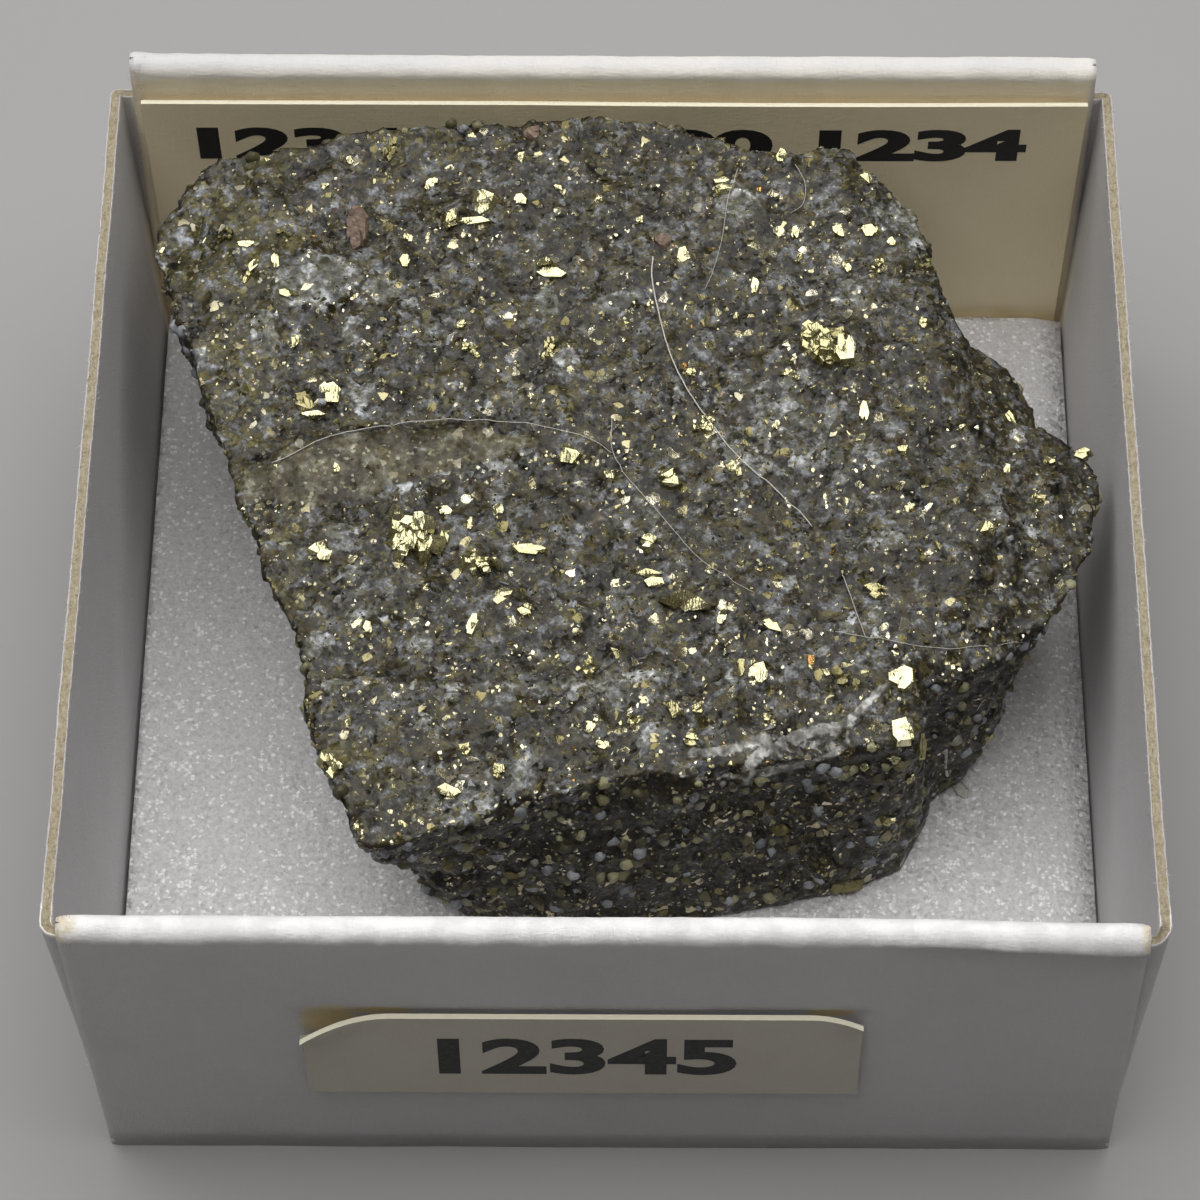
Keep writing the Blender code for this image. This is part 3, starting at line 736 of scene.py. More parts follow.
def smoothed(mesh, points, rounds):
    """Move each point towards its neighbours and nearly as far back, so corners stay."""
    pairs = np.zeros(len(mesh.edges) * 2, np.int32)
    mesh.edges.foreach_get("vertices", pairs)
    pairs = pairs.reshape(-1, 2)
    count = np.zeros(len(points))
    np.add.at(count, pairs.ravel(), 1)
    for share in (PULL_IN, PUSH_OUT) * rounds:
        around = np.zeros_like(points)
        np.add.at(around, pairs[:, 0], points[pairs[:, 1]])
        np.add.at(around, pairs[:, 1], points[pairs[:, 0]])
        points = (1 - share) * points + share * around / count[:, None]
    return points


rock = remeshed_rock()
rock_points = smoothed(rock.data, vectors_of(rock.data, "co"), SMOOTHING_ROUNDS)
set_points(rock.data, rock_points)
rock_faces = [tuple(face.vertices) for face in rock.data.polygons]
calm_surface = BVHTree.FromPolygons(rock_points.tolist(), rock_faces)
print("rock skin:", len(rock_points), "points")

# %% [markdown]
# Where things lie on the top face was measured in the photograph: the quartz patches,
# the long olive lens, olive zones and the frosted corner. Each patch is an ellipse: its
# middle, its two half-widths, its turn in degrees and how strong it is. The first three
# lists are in millimetres on the top face.

# %% Rock: patches on the top face
QUARTZ_PATCHES = [
    (-11.9, 10.2, 2.0, 1.5, 10, 1.0), (-13.8, 7.7, 0.6, 1.3, 10, 0.9),
    (-9.7, 5.0, 0.5, 1.0, -20, 0.9), (-9.1, 10.1, 0.6, 0.9, -30, 0.9),
    (-2.6, 9.9, 0.7, 1.1, 20, 0.6), (5.1, 14.0, 1.0, 1.2, 0, 0.9),
    (0.1, 9.3, 1.0, 0.5, 15, 0.7), (7.4, 3.6, 4.4, 2.0, -25, 0.45),
    (11.8, 13.3, 1.4, 2.2, 15, 0.8), (5.4, 2.2, 1.9, 0.6, -25, 0.7),
    (-7.2, -6.1, 0.6, 0.5, 0, 0.9), (-11.2, -6.2, 0.6, 0.7, 0, 0.9),
    (-10.6, -1.1, 0.6, 0.5, 0, 0.9), (-10.1, -3.1, 0.6, 0.5, 20, 0.8),
    (-9.4, -5.1, 0.9, 0.9, 30, 0.7), (-10.4, -7.9, 0.5, 0.4, 0, 0.8),
    (-9.3, -7.9, 0.5, 0.4, 0, 0.8), (-4.8, -12.4, 3.2, 0.9, 20, 0.6),
    (-0.1, -8.2, 1.8, 1.3, 10, 0.55), (1.2, -0.7, 1.2, 1.2, 0, 0.5),
    (-2.0, 7.0, 1.0, 1.1, 40, 0.5), (-6.8, 8.0, 1.0, 1.0, 0, 0.4),
    (9.8, -5.1, 1.3, 0.8, 0, 0.6), (15.8, -0.7, 1.2, 1.0, 0, 0.5),
    (13.5, -10.0, 0.5, 0.8, 0, 0.5), (9.6, 9.6, 1.4, 1.0, 30, 0.35),
]
OLIVE_PATCHES = [
    (-15.5, 12.0, 3.0, 3.6, 20, 1.0), (-14.8, 5.0, 1.6, 4.0, 0, 0.8),
    (-7.6, 16.6, 2.0, 0.9, 0, 0.8), (-9.5, -11.5, 2.5, 1.5, 10, 0.9),
    (-12.4, -3.5, 1.6, 3.0, 0, 0.6), (12.8, -10.5, 1.6, 2.4, 0, 0.8),
    (-4.0, 5.6, 4.5, 1.2, 5, 0.4), (-14.0, 16.0, 1.8, 0.8, 35, 1.0),
]
FROST_PATCHES = [
    (-17.9, 12.6, 1.0, 2.3, 8, 0.42), (-16.6, 14.6, 1.6, 0.8, 35, 0.4),
    (-9.2, 16.6, 0.5, 0.5, 0, 0.6), (-13.4, 5.5, 0.4, 1.0, 0, 0.55),
]
LENS_UPPER = [(-14.6, 1.7), (-11.1, 3.2), (-5.9, 3.7), (-1.9, 2.9)]
LENS_LOWER = [(-14.1, -0.1), (-10.9, -0.1), (-7.0, 0.8), (-3.5, 1.9), (-1.9, 2.2)]
SEAM = [(-11.4, -7.8), (-5.3, -8.1), (-1.8, -7.8), (3.6, -7.3)]


def patch_strength(x, y, patches):
    """How strongly each place lies in one of the ellipses."""
    strongest = np.zeros_like(x)
    for middle_x, middle_y, half_long, half_wide, degrees, strength in patches:
        angle = math.radians(degrees)
        along = (x - middle_x) * math.cos(angle) + (y - middle_y) * math.sin(angle)
        across = (y - middle_y) * math.cos(angle) - (x - middle_x) * math.sin(angle)
        reach = np.sqrt((along / half_long) ** 2 + (across / half_wide) ** 2)
        strongest = np.maximum(strongest, strength * (1 - eased(reach, 0.55, 1.25)))
    return strongest


print("patches:", len(QUARTZ_PATCHES), len(OLIVE_PATCHES), len(FROST_PATCHES))

# %% [markdown]
# More quartz, frost and the dried glue were traced in the photograph, so these lists are
# in its pixels: ellipses again, and streaks with a half-width, a strength and a line.

# %% Rock: spots and streaks traced in the photograph
PALE_SPOTS = [
    (335, 200, 9, 8, 0, 0.8), (354, 331, 14, 20, 0, 0.8), (352, 393, 13, 20, 0, 0.65),
    (381, 295, 9, 18, 0, 0.7), (413, 305, 8, 12, 0, 0.6), (545, 298, 14, 14, 0, 0.85),
    (620, 300, 22, 9, -15, 0.8), (495, 398, 28, 20, 0, 0.45), (599, 378, 14, 22, 0, 0.5),
    (516, 355, 15, 8, 0, 0.6), (345, 527, 14, 9, 0, 0.65), (437, 191, 14, 9, 0, 0.65),
    (352, 576, 14, 8, -15, 0.65), (345, 597, 14, 4, -10, 0.7), (423, 642, 10, 8, 0, 0.85),
    (323, 641, 14, 8, -20, 0.6), (365, 685, 12, 6, 0, 0.7), (332, 690, 10, 7, 0, 0.6),
    (423, 724, 12, 12, 0, 0.75), (452, 697, 12, 7, 0, 0.8), (507, 686, 7, 8, 0, 0.8),
    (509, 793, 8, 8, 0, 0.95), (657, 738, 16, 18, 0, 0.65), (641, 690, 16, 14, 0, 0.5),
    (445, 828, 38, 9, -18, 0.8), (560, 797, 40, 8, -8, 0.6), (676, 400, 5, 24, 10, 0.75),
    (726, 441, 14, 18, 0, 0.65), (803, 462, 7, 18, -20, 0.85), (840, 479, 20, 6, 0, 0.6),
    (888, 542, 22, 14, 0, 0.75), (792, 386, 26, 22, 0, 0.5), (672, 279, 16, 7, 0, 0.65),
    (732, 203, 20, 20, 0, 0.8), (902, 215, 26, 32, 30, 0.75), (1020, 437, 14, 7, 30, 0.85),
    (1039, 575, 12, 6, 20, 0.8), (1000, 525, 10, 8, 0, 0.65), (788, 582, 10, 6, 0, 0.75),
    (819, 650, 14, 8, 0, 0.55), (733, 676, 8, 10, 0, 0.7), (915, 655, 24, 5, -10, 0.6),
    (905, 698, 14, 10, 0, 0.6), (470, 640, 60, 5, -5, 0.35), (560, 610, 20, 12, 0, 0.4),
    (1060, 500, 30, 14, 0, 0.4), (870, 500, 24, 12, 0, 0.45),
]
GLUE_STREAKS = [
    (8, 0.9, [(693, 752), (715, 753), (735, 748), (752, 742), (772, 737)]),
    (8, 1.0, [(746, 774), (752, 762), (763, 751), (778, 743), (800, 735), (822, 729),
         (846, 721)]),
    (6, 0.95, [(846, 722), (858, 713), (868, 702), (878, 691), (890, 680), (893, 668)]),
    (6, 0.85, [(846, 733), (843, 746), (826, 757), (806, 765), (788, 771), (768, 775),
         (750, 775)]),
    (9, 1.0, [(748, 778), (762, 776)]), (16, 0.42, [(775, 760), (800, 752), (830, 744)]),
    (2.5, 0.8, [(682, 776), (706, 779), (730, 777), (748, 779)]),
    (3, 0.6, [(560, 686), (600, 683), (640, 678)]),
    (5, 0.5, [(926, 702), (924, 745), (928, 790)]),
    (4, 0.55, [(700, 372), (716, 400), (735, 430), (762, 455)]),
]
FROST_VEINS = [
    (5, 0.85, [(150, 238), (152, 252), (163, 265)]),
    (4, 0.7, [(152, 236), (160, 221), (176, 210), (192, 203)]),
    (3.5, 0.75, [(158, 246), (175, 240), (193, 237), (207, 248)]),
    (3, 0.6, [(166, 263), (178, 251), (188, 241)]),
    (4, 0.6, [(176, 200), (196, 190), (216, 186), (238, 188)]),
    (3, 0.6, [(178, 300), (186, 303), (194, 302)]),
    (3, 0.55, [(214, 262), (222, 275), (226, 292)]),
    (4, 0.6, [(203, 348), (211, 362), (228, 366)]),
    (3, 0.6, [(408, 128), (420, 126), (428, 140), (424, 156)]),
]
FOCAL_PIXELS = LENS / SENSOR * IMAGE_WIDTH


def smooth_path(points, steps):
    """A Catmull-Rom curve through points, flat ones too."""
    points = [Vector((*point, 0.0)[:3]) for point in points]
    ends = [points[0] * 2 - points[1]] + points + [points[-1] * 2 - points[-2]]
    path = []
    for index in range(1, len(ends) - 2):
        a, b, c, d = ends[index - 1:index + 3]
        for part in range(steps):
            t = part / steps
            path.append(0.5 * (2 * b + (c - a) * t + (2 * a - 5 * b + 4 * c - d) * t ** 2
                               + (3 * b - a - 3 * c + d) * t ** 3))
    return path + [points[-1]]


def streak_strength(px, py, streaks):
    """How strongly each place lies on one of the traced streaks."""
    strongest = np.zeros_like(px)
    for half_width, strength, traced in streaks:
        path = np.array(smooth_path(traced, 10))[:, :2]
        low, high = path.min(0) - 2 * half_width, path.max(0) + 2 * half_width
        close = np.flatnonzero((px > low[0]) & (px < high[0]) & (py > low[1]) & (py < high[1]))
        gaps = np.hypot(px[close, None] - path[:, 0], py[close, None] - path[:, 1]).min(1)
        on_streak = strength * (1 - eased(gaps, 0.35 * half_width, 1.15 * half_width))
        strongest[close] = np.maximum(strongest[close], on_streak)
    return strongest


def photo_pixels(points):
    """Where points in millimetres are in the photograph."""
    seen = (points - np.array(CAMERA_PLACE)) @ np.array(camera_turn.to_3x3())
    return (IMAGE_WIDTH / 2 - FOCAL_PIXELS * seen[:, 0] / seen[:, 2],
            IMAGE_WIDTH / 2 + FOCAL_PIXELS * seen[:, 1] / seen[:, 2])


print("spots and streaks:", len(PALE_SPOTS), len(GLUE_STREAKS), len(FROST_VEINS))

# %% [markdown]
# Now the lists become masks: one number between 0 and 1 for each point of the skin. The
# fine crack and the lens's lower rim are pale with quartz.

# %% Rock: masks
TOP_BEGINS = (12.0, 13.2)
CRACK_HALF = (0.12, 0.4)


def line_height(x, line):
    """The y of a bent line at each x."""
    xs, ys = zip(*line)
    return np.interp(x, xs, ys)


x, y, z = rock_points.T
on_top = eased(z, *TOP_BEGINS)
photo_x, photo_y = photo_pixels(rock_points)
quartz_mask = np.maximum(patch_strength(x, y, QUARTZ_PATCHES),
                         patch_strength(photo_x, photo_y, PALE_SPOTS)) * on_top
film_mask = streak_strength(photo_x, photo_y, GLUE_STREAKS) * eased(z, 8.0, 10.0)
in_seam = (1 - eased(np.abs(y - line_height(x, SEAM)), *CRACK_HALF)) * eased(x, -12.0, -11.0)
in_seam *= (1 - eased(x, 3.0, 4.5)) * on_top
quartz_mask = np.maximum(quartz_mask, 0.55 * in_seam)
upper = line_height(x, LENS_UPPER)
lower = line_height(x, LENS_LOWER)
lens_mask = eased(y, lower - 0.15, lower + 0.35) * (1 - eased(y, upper - 0.35, upper + 0.15))
lens_mask *= eased(x, -14.9, -14.2) * (1 - eased(x, -2.6, -1.6)) * on_top
lens_rim = (1 - eased(np.abs(y - lower - 0.2), 0.05, 0.5)) * eased(x, -10.0, -8.0)
quartz_mask = np.maximum(quartz_mask, 0.62 * lens_rim * (1 - eased(x, -2.4, -1.6)) * on_top)
lens_mask *= 1 - 0.8 * lens_rim
frost_mask = np.maximum(patch_strength(x, y, FROST_PATCHES),
                        streak_strength(photo_x, photo_y, FROST_VEINS)) * eased(z, 8.0, 12.0)
olive_mask = patch_strength(x, y, OLIVE_PATCHES)
print("lens points:", int((lens_mask > 0.5).sum()), " quartz:", int((quartz_mask > 0.5).sum()))

# %% [markdown]
# Broken rock is not lumpy like dough: it is a crowd of small flat faces. Each Voronoi
# cell gets its own tilted plane, at three sizes, and the point moves along its normal to
# that plane. The glassy lens breaks smoother, so the relief is calmed there.

# %% Rock: broken relief
FACET_LAYERS = [(0.55, 0.17), (1.15, 0.09), (2.3, 0.035)]
SWELL_PER_MM, SWELL_HEIGHT = 0.7, 0.10
PIT_PER_MM, PIT_DEPTH, PIT_LIMIT = 0.9, 0.22, 0.36
HALF = Vector((0.5, 0.5, 0.5))


def cell_plane(point, per_mm, offset):
    """Height of the tilted plane of the cell that holds a point."""
    spot = point * per_mm + offset
    _, centres = noise.voronoi(spot)
    tilt = noise.cell_vector(centres[0] * 7.13 + offset) - HALF
    lift = noise.cell(centres[0] * 3.7 + offset) - 0.5
    return (spot - centres[0]).dot(tilt) * 1.6 + 0.5 * lift


def broken_relief(points, calm):
    """Relief in millimetres for each point."""
    relief = np.zeros(len(points))
    for index, place in enumerate(points):
        point = Vector(place)
        height = SWELL_HEIGHT * noise.fractal(point * SWELL_PER_MM, 1.0, 2.0, 3)
        for layer, (per_mm, layer_height) in enumerate(FACET_LAYERS):
            plane = cell_plane(point, per_mm, Vector((layer * 11.3, 4.1, 8.7)))
            height += layer_height * plane * (1 - 0.7 * calm[index])
        pit = noise.noise(point * PIT_PER_MM + Vector((31.0, 7.0, 2.0)))
        height -= PIT_DEPTH * max(0.0, pit - PIT_LIMIT) * (1 - calm[index])
        relief[index] = height
    return relief


relief = broken_relief(rock_points, np.maximum(lens_mask, 0.35 * (quartz_mask > 0.6)))
print("relief from", round(float(relief.min()), 2), "to", round(float(relief.max()), 2), "mm")

# %% [markdown]
# Quartz, the lens and the glue stand a little proud, and the foot is let down until it
# just rests on the foam. The masks are stored on the skin, where the ore and the grains
# read them: a `room` mask says where grains may grow.

# %% Rock: carving and stored masks
FOAM_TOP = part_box("foam_pad")[1].z / MM
ROCK_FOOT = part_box("specimen")[0].z / MM
FOOT_GAP = 0.04
PROUD_QUARTZ, PROUD_LENS, PROUD_GLUE = 0.08, 0.08, 0.03

relief += PROUD_QUARTZ * eased(quartz_mask, 0.3, 0.8)
relief += PROUD_LENS * lens_mask + PROUD_GLUE * film_mask
relief *= 1 - 0.85 * (1 - eased(z, ROCK_FOOT, ROCK_FOOT + 1.2))
rock_points = rock_points + vectors_of(rock.data, "normal") * relief[:, None]
near_foot = 1 - eased(rock_points[:, 2], ROCK_FOOT, ROCK_FOOT + 3.0)
rock_points[:, 2] -= (ROCK_FOOT - FOAM_TOP - FOOT_GAP) * near_foot
set_points(rock.data, rock_points)

open_skin = eased(rock_points[:, 2], ROCK_FOOT, ROCK_FOOT + 0.6)
open_skin *= 1 - 0.9 * eased(film_mask, 0.3, 0.6)
steep = 1 - eased(vectors_of(rock.data, "normal")[:, 2], 0.3, 0.65)
no_lens, some_olive = 1 - 0.7 * lens_mask, 1 - 0.5 * olive_mask
bare = open_skin * no_lens * (1 - 0.6 * quartz_mask) * (1 - 0.55 * olive_mask)
stored = {
    "quartz": quartz_mask, "lens": lens_mask, "frost": frost_mask, "olive": olive_mask,
    "film": film_mask, "metal": no_lens * (1 - 0.8 * frost_mask) * some_olive,
    "grain_room": bare * (1 - 0.75 * steep), "speck_room": bare,
    # The steep mask also says where the ore paints shade on the sides.
    "steep_room": steep * open_skin,
    "quartz_room": np.clip(0.04 + quartz_mask, 0, 1) * open_skin}
for name, values in stored.items():
    store(rock.data, name, values)
shade(rock.data, True)
coat(rock.data, ORE)
rock_surface = BVHTree.FromPolygons(rock_points.tolist(), rock_faces)
keep_piece(rock, "ore", "specimen")

# %% [markdown]
# Pyrite breaks into blocky splinters. A handful of different splinters is enough: each
# is the hull of a few random points on a ball, cut off flat on its upper side. The
# weathered grains are pebbles, hulls of more points on a whole ball.

# %% Splinter and pebble shapes
SPLINTER_COUNT, SPLINTER_CORNERS = 6, 12
PEBBLE_COUNT, PEBBLE_CORNERS = 4, 26


def hull_bmesh(points):
    """The convex hull of some points, as a bmesh."""
    bm = bmesh.new()
    for point in points:
        bm.verts.new(point)
    made = bmesh.ops.convex_hull(bm, input=bm.verts)
    loose = {item for item in made["geom_interior"] + made["geom_unused"]
             if isinstance(item, bmesh.types.BMVert)}
    bmesh.ops.delete(bm, geom=list(loose), context="VERTS")
    bmesh.ops.recalc_face_normals(bm, faces=bm.faces)
    return bm


def splinter_points(random):
    """Random points on a squashed ball, cut off on the upper side."""
    points = random.normal(size=(SPLINTER_CORNERS, 3))
    points /= np.linalg.norm(points, axis=1)[:, None]
    points *= random.uniform(0.7, 1.0, (SPLINTER_CORNERS, 1)) * 0.5
    points *= random.uniform((0.7, 0.7, 0.6), (1.25, 1.25, 0.9))
    points[:, 2] = np.minimum(points[:, 2], 0.12 * random.uniform(0.6, 1.5))
    return points


def pebble_points(random):
    """Random points on a whole, slightly squashed ball."""
    points = random.normal(size=(PEBBLE_CORNERS, 3))
    points /= np.linalg.norm(points, axis=1)[:, None] * 2
    return points * random.uniform(0.75, 1.0, 3)


def shape_collection(name, count, points_of, random):
    """A collection of hulls to choose from."""
    collection = bpy.data.collections.new(name)
    for index in range(count):
        mesh = mesh_from(hull_bmesh(points_of(random)), f"{name}_{index}")
        collection.objects.link(bpy.data.objects.new(mesh.name, mesh))
    return collection


shape_random = np.random.RandomState(11)
splinters = shape_collection("splinters", SPLINTER_COUNT, splinter_points, shape_random)
pebbles = shape_collection("pebbles", PEBBLE_COUNT, pebble_points, shape_random)

# %% [markdown]
# Geometry Nodes scatter thousands of grains. Points are spread at random, thinned by a
# mask, sunk by a part of their size and tilted. Small grains are far more common than
# large ones, which a power of the random number gives.

# %% Geometry Nodes: points, sizes and tilts
def sized_points(tree, given):
    """Points spread over the surface, each with a size: their nodes."""
    room = add(tree, "GeometryNodeInputNamedAttribute", {"Name": given["Room"]},
               data_type="FLOAT").outputs[0]
    density = product(tree, room, given["Per square mm"], 1.0 / MM ** 2)
    spread = add(tree, "GeometryNodeDistributePointsOnFaces",
                 {"Mesh": given["Surface"], "Density": density, "Seed": given["Seed"]})
    dice = add(tree, "FunctionNodeRandomValue", {"Seed": given["Seed"]}, data_type="FLOAT")
    share = maths(tree, "POWER", dice.outputs[1], given["Crowding"])
    span = maths(tree, "SUBTRACT", given["Largest"], given["Smallest"])
    size = maths(tree, "MULTIPLY_ADD", share, span, given["Smallest"])
    sized = add(tree, "GeometryNodeCaptureAttribute")
    sized.capture_items.new("FLOAT", "Size")
    plug(tree, spread.outputs["Points"], sized.inputs[0])
    plug(tree, product(tree, size, MM), sized.inputs["Size"])
    return spread, sized


def sunk_points(tree, given, spread, sized):
    """The points moved into the surface by a part of their size."""
    depth = product(tree, sized.outputs["Size"], given["Sink"], -1.0)
    offset = vector(tree, "SCALE", spread.outputs["Normal"], scale=depth)
    return add(tree, "GeometryNodeSetPosition",
               {"Geometry": sized.outputs[0], "Offset": offset}).outputs[0]


def random_tilt(tree, given, spread):
    """The surface's own turn with a limited random tilt and any spin added."""
    limit = add(tree, "ShaderNodeCombineXYZ", {0: given["Tilt"], 1: given["Tilt"], 2: math.pi})
    least = vector(tree, "SCALE", limit.outputs[0], scale=-1.0)
    spin = add(tree, "FunctionNodeRandomValue", data_type="FLOAT_VECTOR",
               inputs={0: least, 1: limit.outputs[0], "Seed": given["Seed"]})
    turn = add(tree, "FunctionNodeEulerToRotation", {0: spin.outputs[0]})
    return add(tree, "FunctionNodeRotateRotation", rotation_space="LOCAL",
               inputs={0: spread.outputs["Rotation"], 1: turn.outputs[0]}).outputs[0]


print("point, size and tilt nodes ready")

# %% [markdown]
# Then each point gets one of the shapes and a random `tone` that its material reads. One
# tree serves for every kind of grain, because its sizes and its seed are inputs.

# %% Geometry Nodes: scatter grains
def scatter_tree():
    """Grains scattered over a surface and made real."""
    tree = bpy.data.node_groups.new("scatter grains", "GeometryNodeTree")
    tree.interface.new_socket("Geometry", in_out="OUTPUT", socket_type="NodeSocketGeometry")
    kinds = {"Surface": "Geometry", "Shapes": "Collection", "Room": "String", "Seed": "Int",
             "Finish": "Material"}
    for label in ("Surface", "Shapes", "Room", "Per square mm", "Smallest", "Largest",
                  "Crowding", "Sink", "Tilt", "Seed", "Finish"):
        kind = "NodeSocket" + kinds.get(label, "Float")
        tree.interface.new_socket(label, in_out="INPUT", socket_type=kind)
    given = add(tree, "NodeGroupInput").outputs
    spread, sized = sized_points(tree, given)
    shapes = add(tree, "GeometryNodeCollectionInfo", {"Collection": given["Shapes"]},
                 Separate_Children=True, Reset_Children=True).outputs[0]
    grains = add(tree, "GeometryNodeInstanceOnPoints", {
        "Points": sunk_points(tree, given, spread, sized), "Instance": shapes,
        "Rotation": random_tilt(tree, given, spread), "Scale": sized.outputs["Size"]},
        Pick_Instance=True)
    tone = add(tree, "FunctionNodeRandomValue",
               {"Seed": maths(tree, "ADD", given["Seed"], 5.0)}, data_type="FLOAT").outputs[1]
    toned = add(tree, "GeometryNodeStoreNamedAttribute",
                {"Geometry": grains.outputs[0], "Value": tone},
                data_type="FLOAT", domain="INSTANCE", Name="tone")
    real = add(tree, "GeometryNodeRealizeInstances", {0: toned.outputs[0]})
    coated = add(tree, "GeometryNodeSetMaterial",
                 {"Geometry": real.outputs[0], "Material": given["Finish"]})
    add(tree, "NodeGroupOutput", {0: coated.outputs[0]})
    return tree


SCATTER = scatter_tree()


def grown(name, surface, smooth=False, **values):
    """Scatter grains on a surface and keep the result as a plain mesh."""
    host = linked(name + " host", surface.data)
    modifier = host.modifiers.new("nodes", "NODES")
    modifier.node_group = SCATTER
    sockets = {item.name: item.identifier for item in SCATTER.interface.items_tree
               if item.in_out == "INPUT"}
    for label, value in values.items():
        modifier[sockets[label.replace("_", " ")]] = value
    piece = evaluated_copy(host, name)
    discard(host)
    shade(piece.data, smooth)
    return piece


print("scatter tree:", len(SCATTER.nodes), "nodes")

# %% [markdown]
# Four kinds of grain grow on the rock: bright pyrite grains, gold specks, weathered
# pebbles on the steep sides and quartz shards where the quartz mask is high.

# %% Grains on the rock
keep_piece(grown("pyrite_grains", rock, Shapes=splinters, Room="grain_room",
                 Per_square_mm=0.9, Smallest=0.16, Largest=0.52, Crowding=2.3, Sink=0.12,
                 Tilt=0.62, Seed=21, Finish=PYRITE), "ore")
keep_piece(grown("pyrite_specks", rock, Shapes=splinters, Room="speck_room",
                 Per_square_mm=2.3, Smallest=0.07, Largest=0.18, Crowding=1.5, Sink=0.05,
                 Tilt=0.60, Seed=43, Finish=PYRITE), "ore")
keep_piece(grown("weathered_grains", rock, True, Shapes=pebbles, Room="steep_room",
                 Per_square_mm=2.2, Smallest=0.16, Largest=0.85, Crowding=1.9, Sink=0.14,
                 Tilt=3.0, Seed=31, Finish=WEATHERED), "ore")
keep_piece(grown("quartz_grains", rock, Shapes=splinters, Room="quartz_room",
                 Per_square_mm=1.8, Smallest=0.18, Largest=0.7, Crowding=1.8, Sink=0.16,
                 Tilt=0.7, Seed=57, Finish=QUARTZ), "ore")

# %% [markdown]
# The largest crystals are where the photograph shows them. A ray from the camera
# through a place in the photograph finds the spot on the rock. A face flashes when it
# looks halfway between the light and the camera, and that direction is worked out too.

# %% Crystals: rays from the camera
PIXELS_PER_MM = 25.0
DEPTH_PIXELS_PER_MM = 20.5


def pixel_ray(px, py):
    """The direction that a place in the photograph is seen in."""
    across = (px - IMAGE_WIDTH / 2) / FOCAL_PIXELS
    up = (IMAGE_WIDTH / 2 - py) / FOCAL_PIXELS
    return (camera_turn.to_3x3() @ Vector((across, up, -1.0))).normalized()


def seen_at(px, py):
    """The rock's spot under a place in the photograph, and its broad normal there."""
    spot = rock_surface.ray_cast(CAMERA_PLACE, pixel_ray(px, py))[0]
    if spot is None:
        return None, None
    return spot, calm_surface.find_nearest(spot)[1]


def flash_normal(spot):
    """The facet normal that mirrors the overhead light into the camera."""
    to_light = (LIGHT_PLACE / MM - spot).normalized()
    to_camera = (CAMERA_PLACE - spot).normalized()
    return (to_light + to_camera).normalized()


print("the photo's middle shows", [round(v, 1) for v in seen_at(600, 600)[0]])

# %% [markdown]
# Each crystal is made of flakes: thin hulls whose flat top may be broken up a little.
# All flakes go into one mesh, and each brings its own tone.

# %% Crystals: flakes
class Flakes:
    """Collects flat-topped flakes with a tone each, for one mesh."""

    def __init__(self, seed):
        self.random = np.random.RandomState(seed)
        self.points, self.faces, self.tones = [], [], []

    def add(self, spot, facing, across, length, width, thick, tone, sides, uneven=0.0):
        """A flake whose top faces one way, its length along `across`."""
        draw = self.random.uniform
        side = across - facing * across.dot(facing)
        side.normalize()
        other = facing.cross(side)
        angles = np.sort((np.arange(sides) + draw(-0.35, 0.35, sides)) / sides * math.tau)
        corners = []
        for angle in angles:
            reach = draw(0.72, 1.08)
            flat = side * (math.cos(angle) * length / 2 * reach)
            flat += other * (math.sin(angle) * width / 2 * reach)
            corners.append(spot + flat - facing * draw(0, uneven) * min(length, width))
            corners.append(spot + flat * draw(1.05, 1.3) - facing * thick)
        ridge = side * draw(-0.2, 0.2) * length + other * draw(-0.2, 0.2) * width
        beyond = spot - ridge * 0.8 + side * 0.2 * length
        bm = hull_bmesh(corners + [spot + ridge, beyond - facing * 0.2 * uneven * width])
        start = len(self.points)
        bm.verts.index_update()
        self.points += [vert.co.copy() for vert in bm.verts]
        self.faces += [tuple(start + vert.index for vert in face.verts) for face in bm.faces]
        self.tones += [tone] * len(bm.verts)
        bm.free()

    def finish(self, name, material):
        """All flakes as one object."""
        points = [tuple(point) for point in self.points]
        piece = mesh_object(name, points, self.faces, [material], closed=False)
        store(piece.data, "tone", self.tones)
        return piece


print("flakes ready")

# %% [markdown]
# Each crystal's place and size in the photograph's pixels, its turn in degrees, its kind
# and its tone. The kinds are flat plates, heaps of blocks, stepped strips and crumbs.

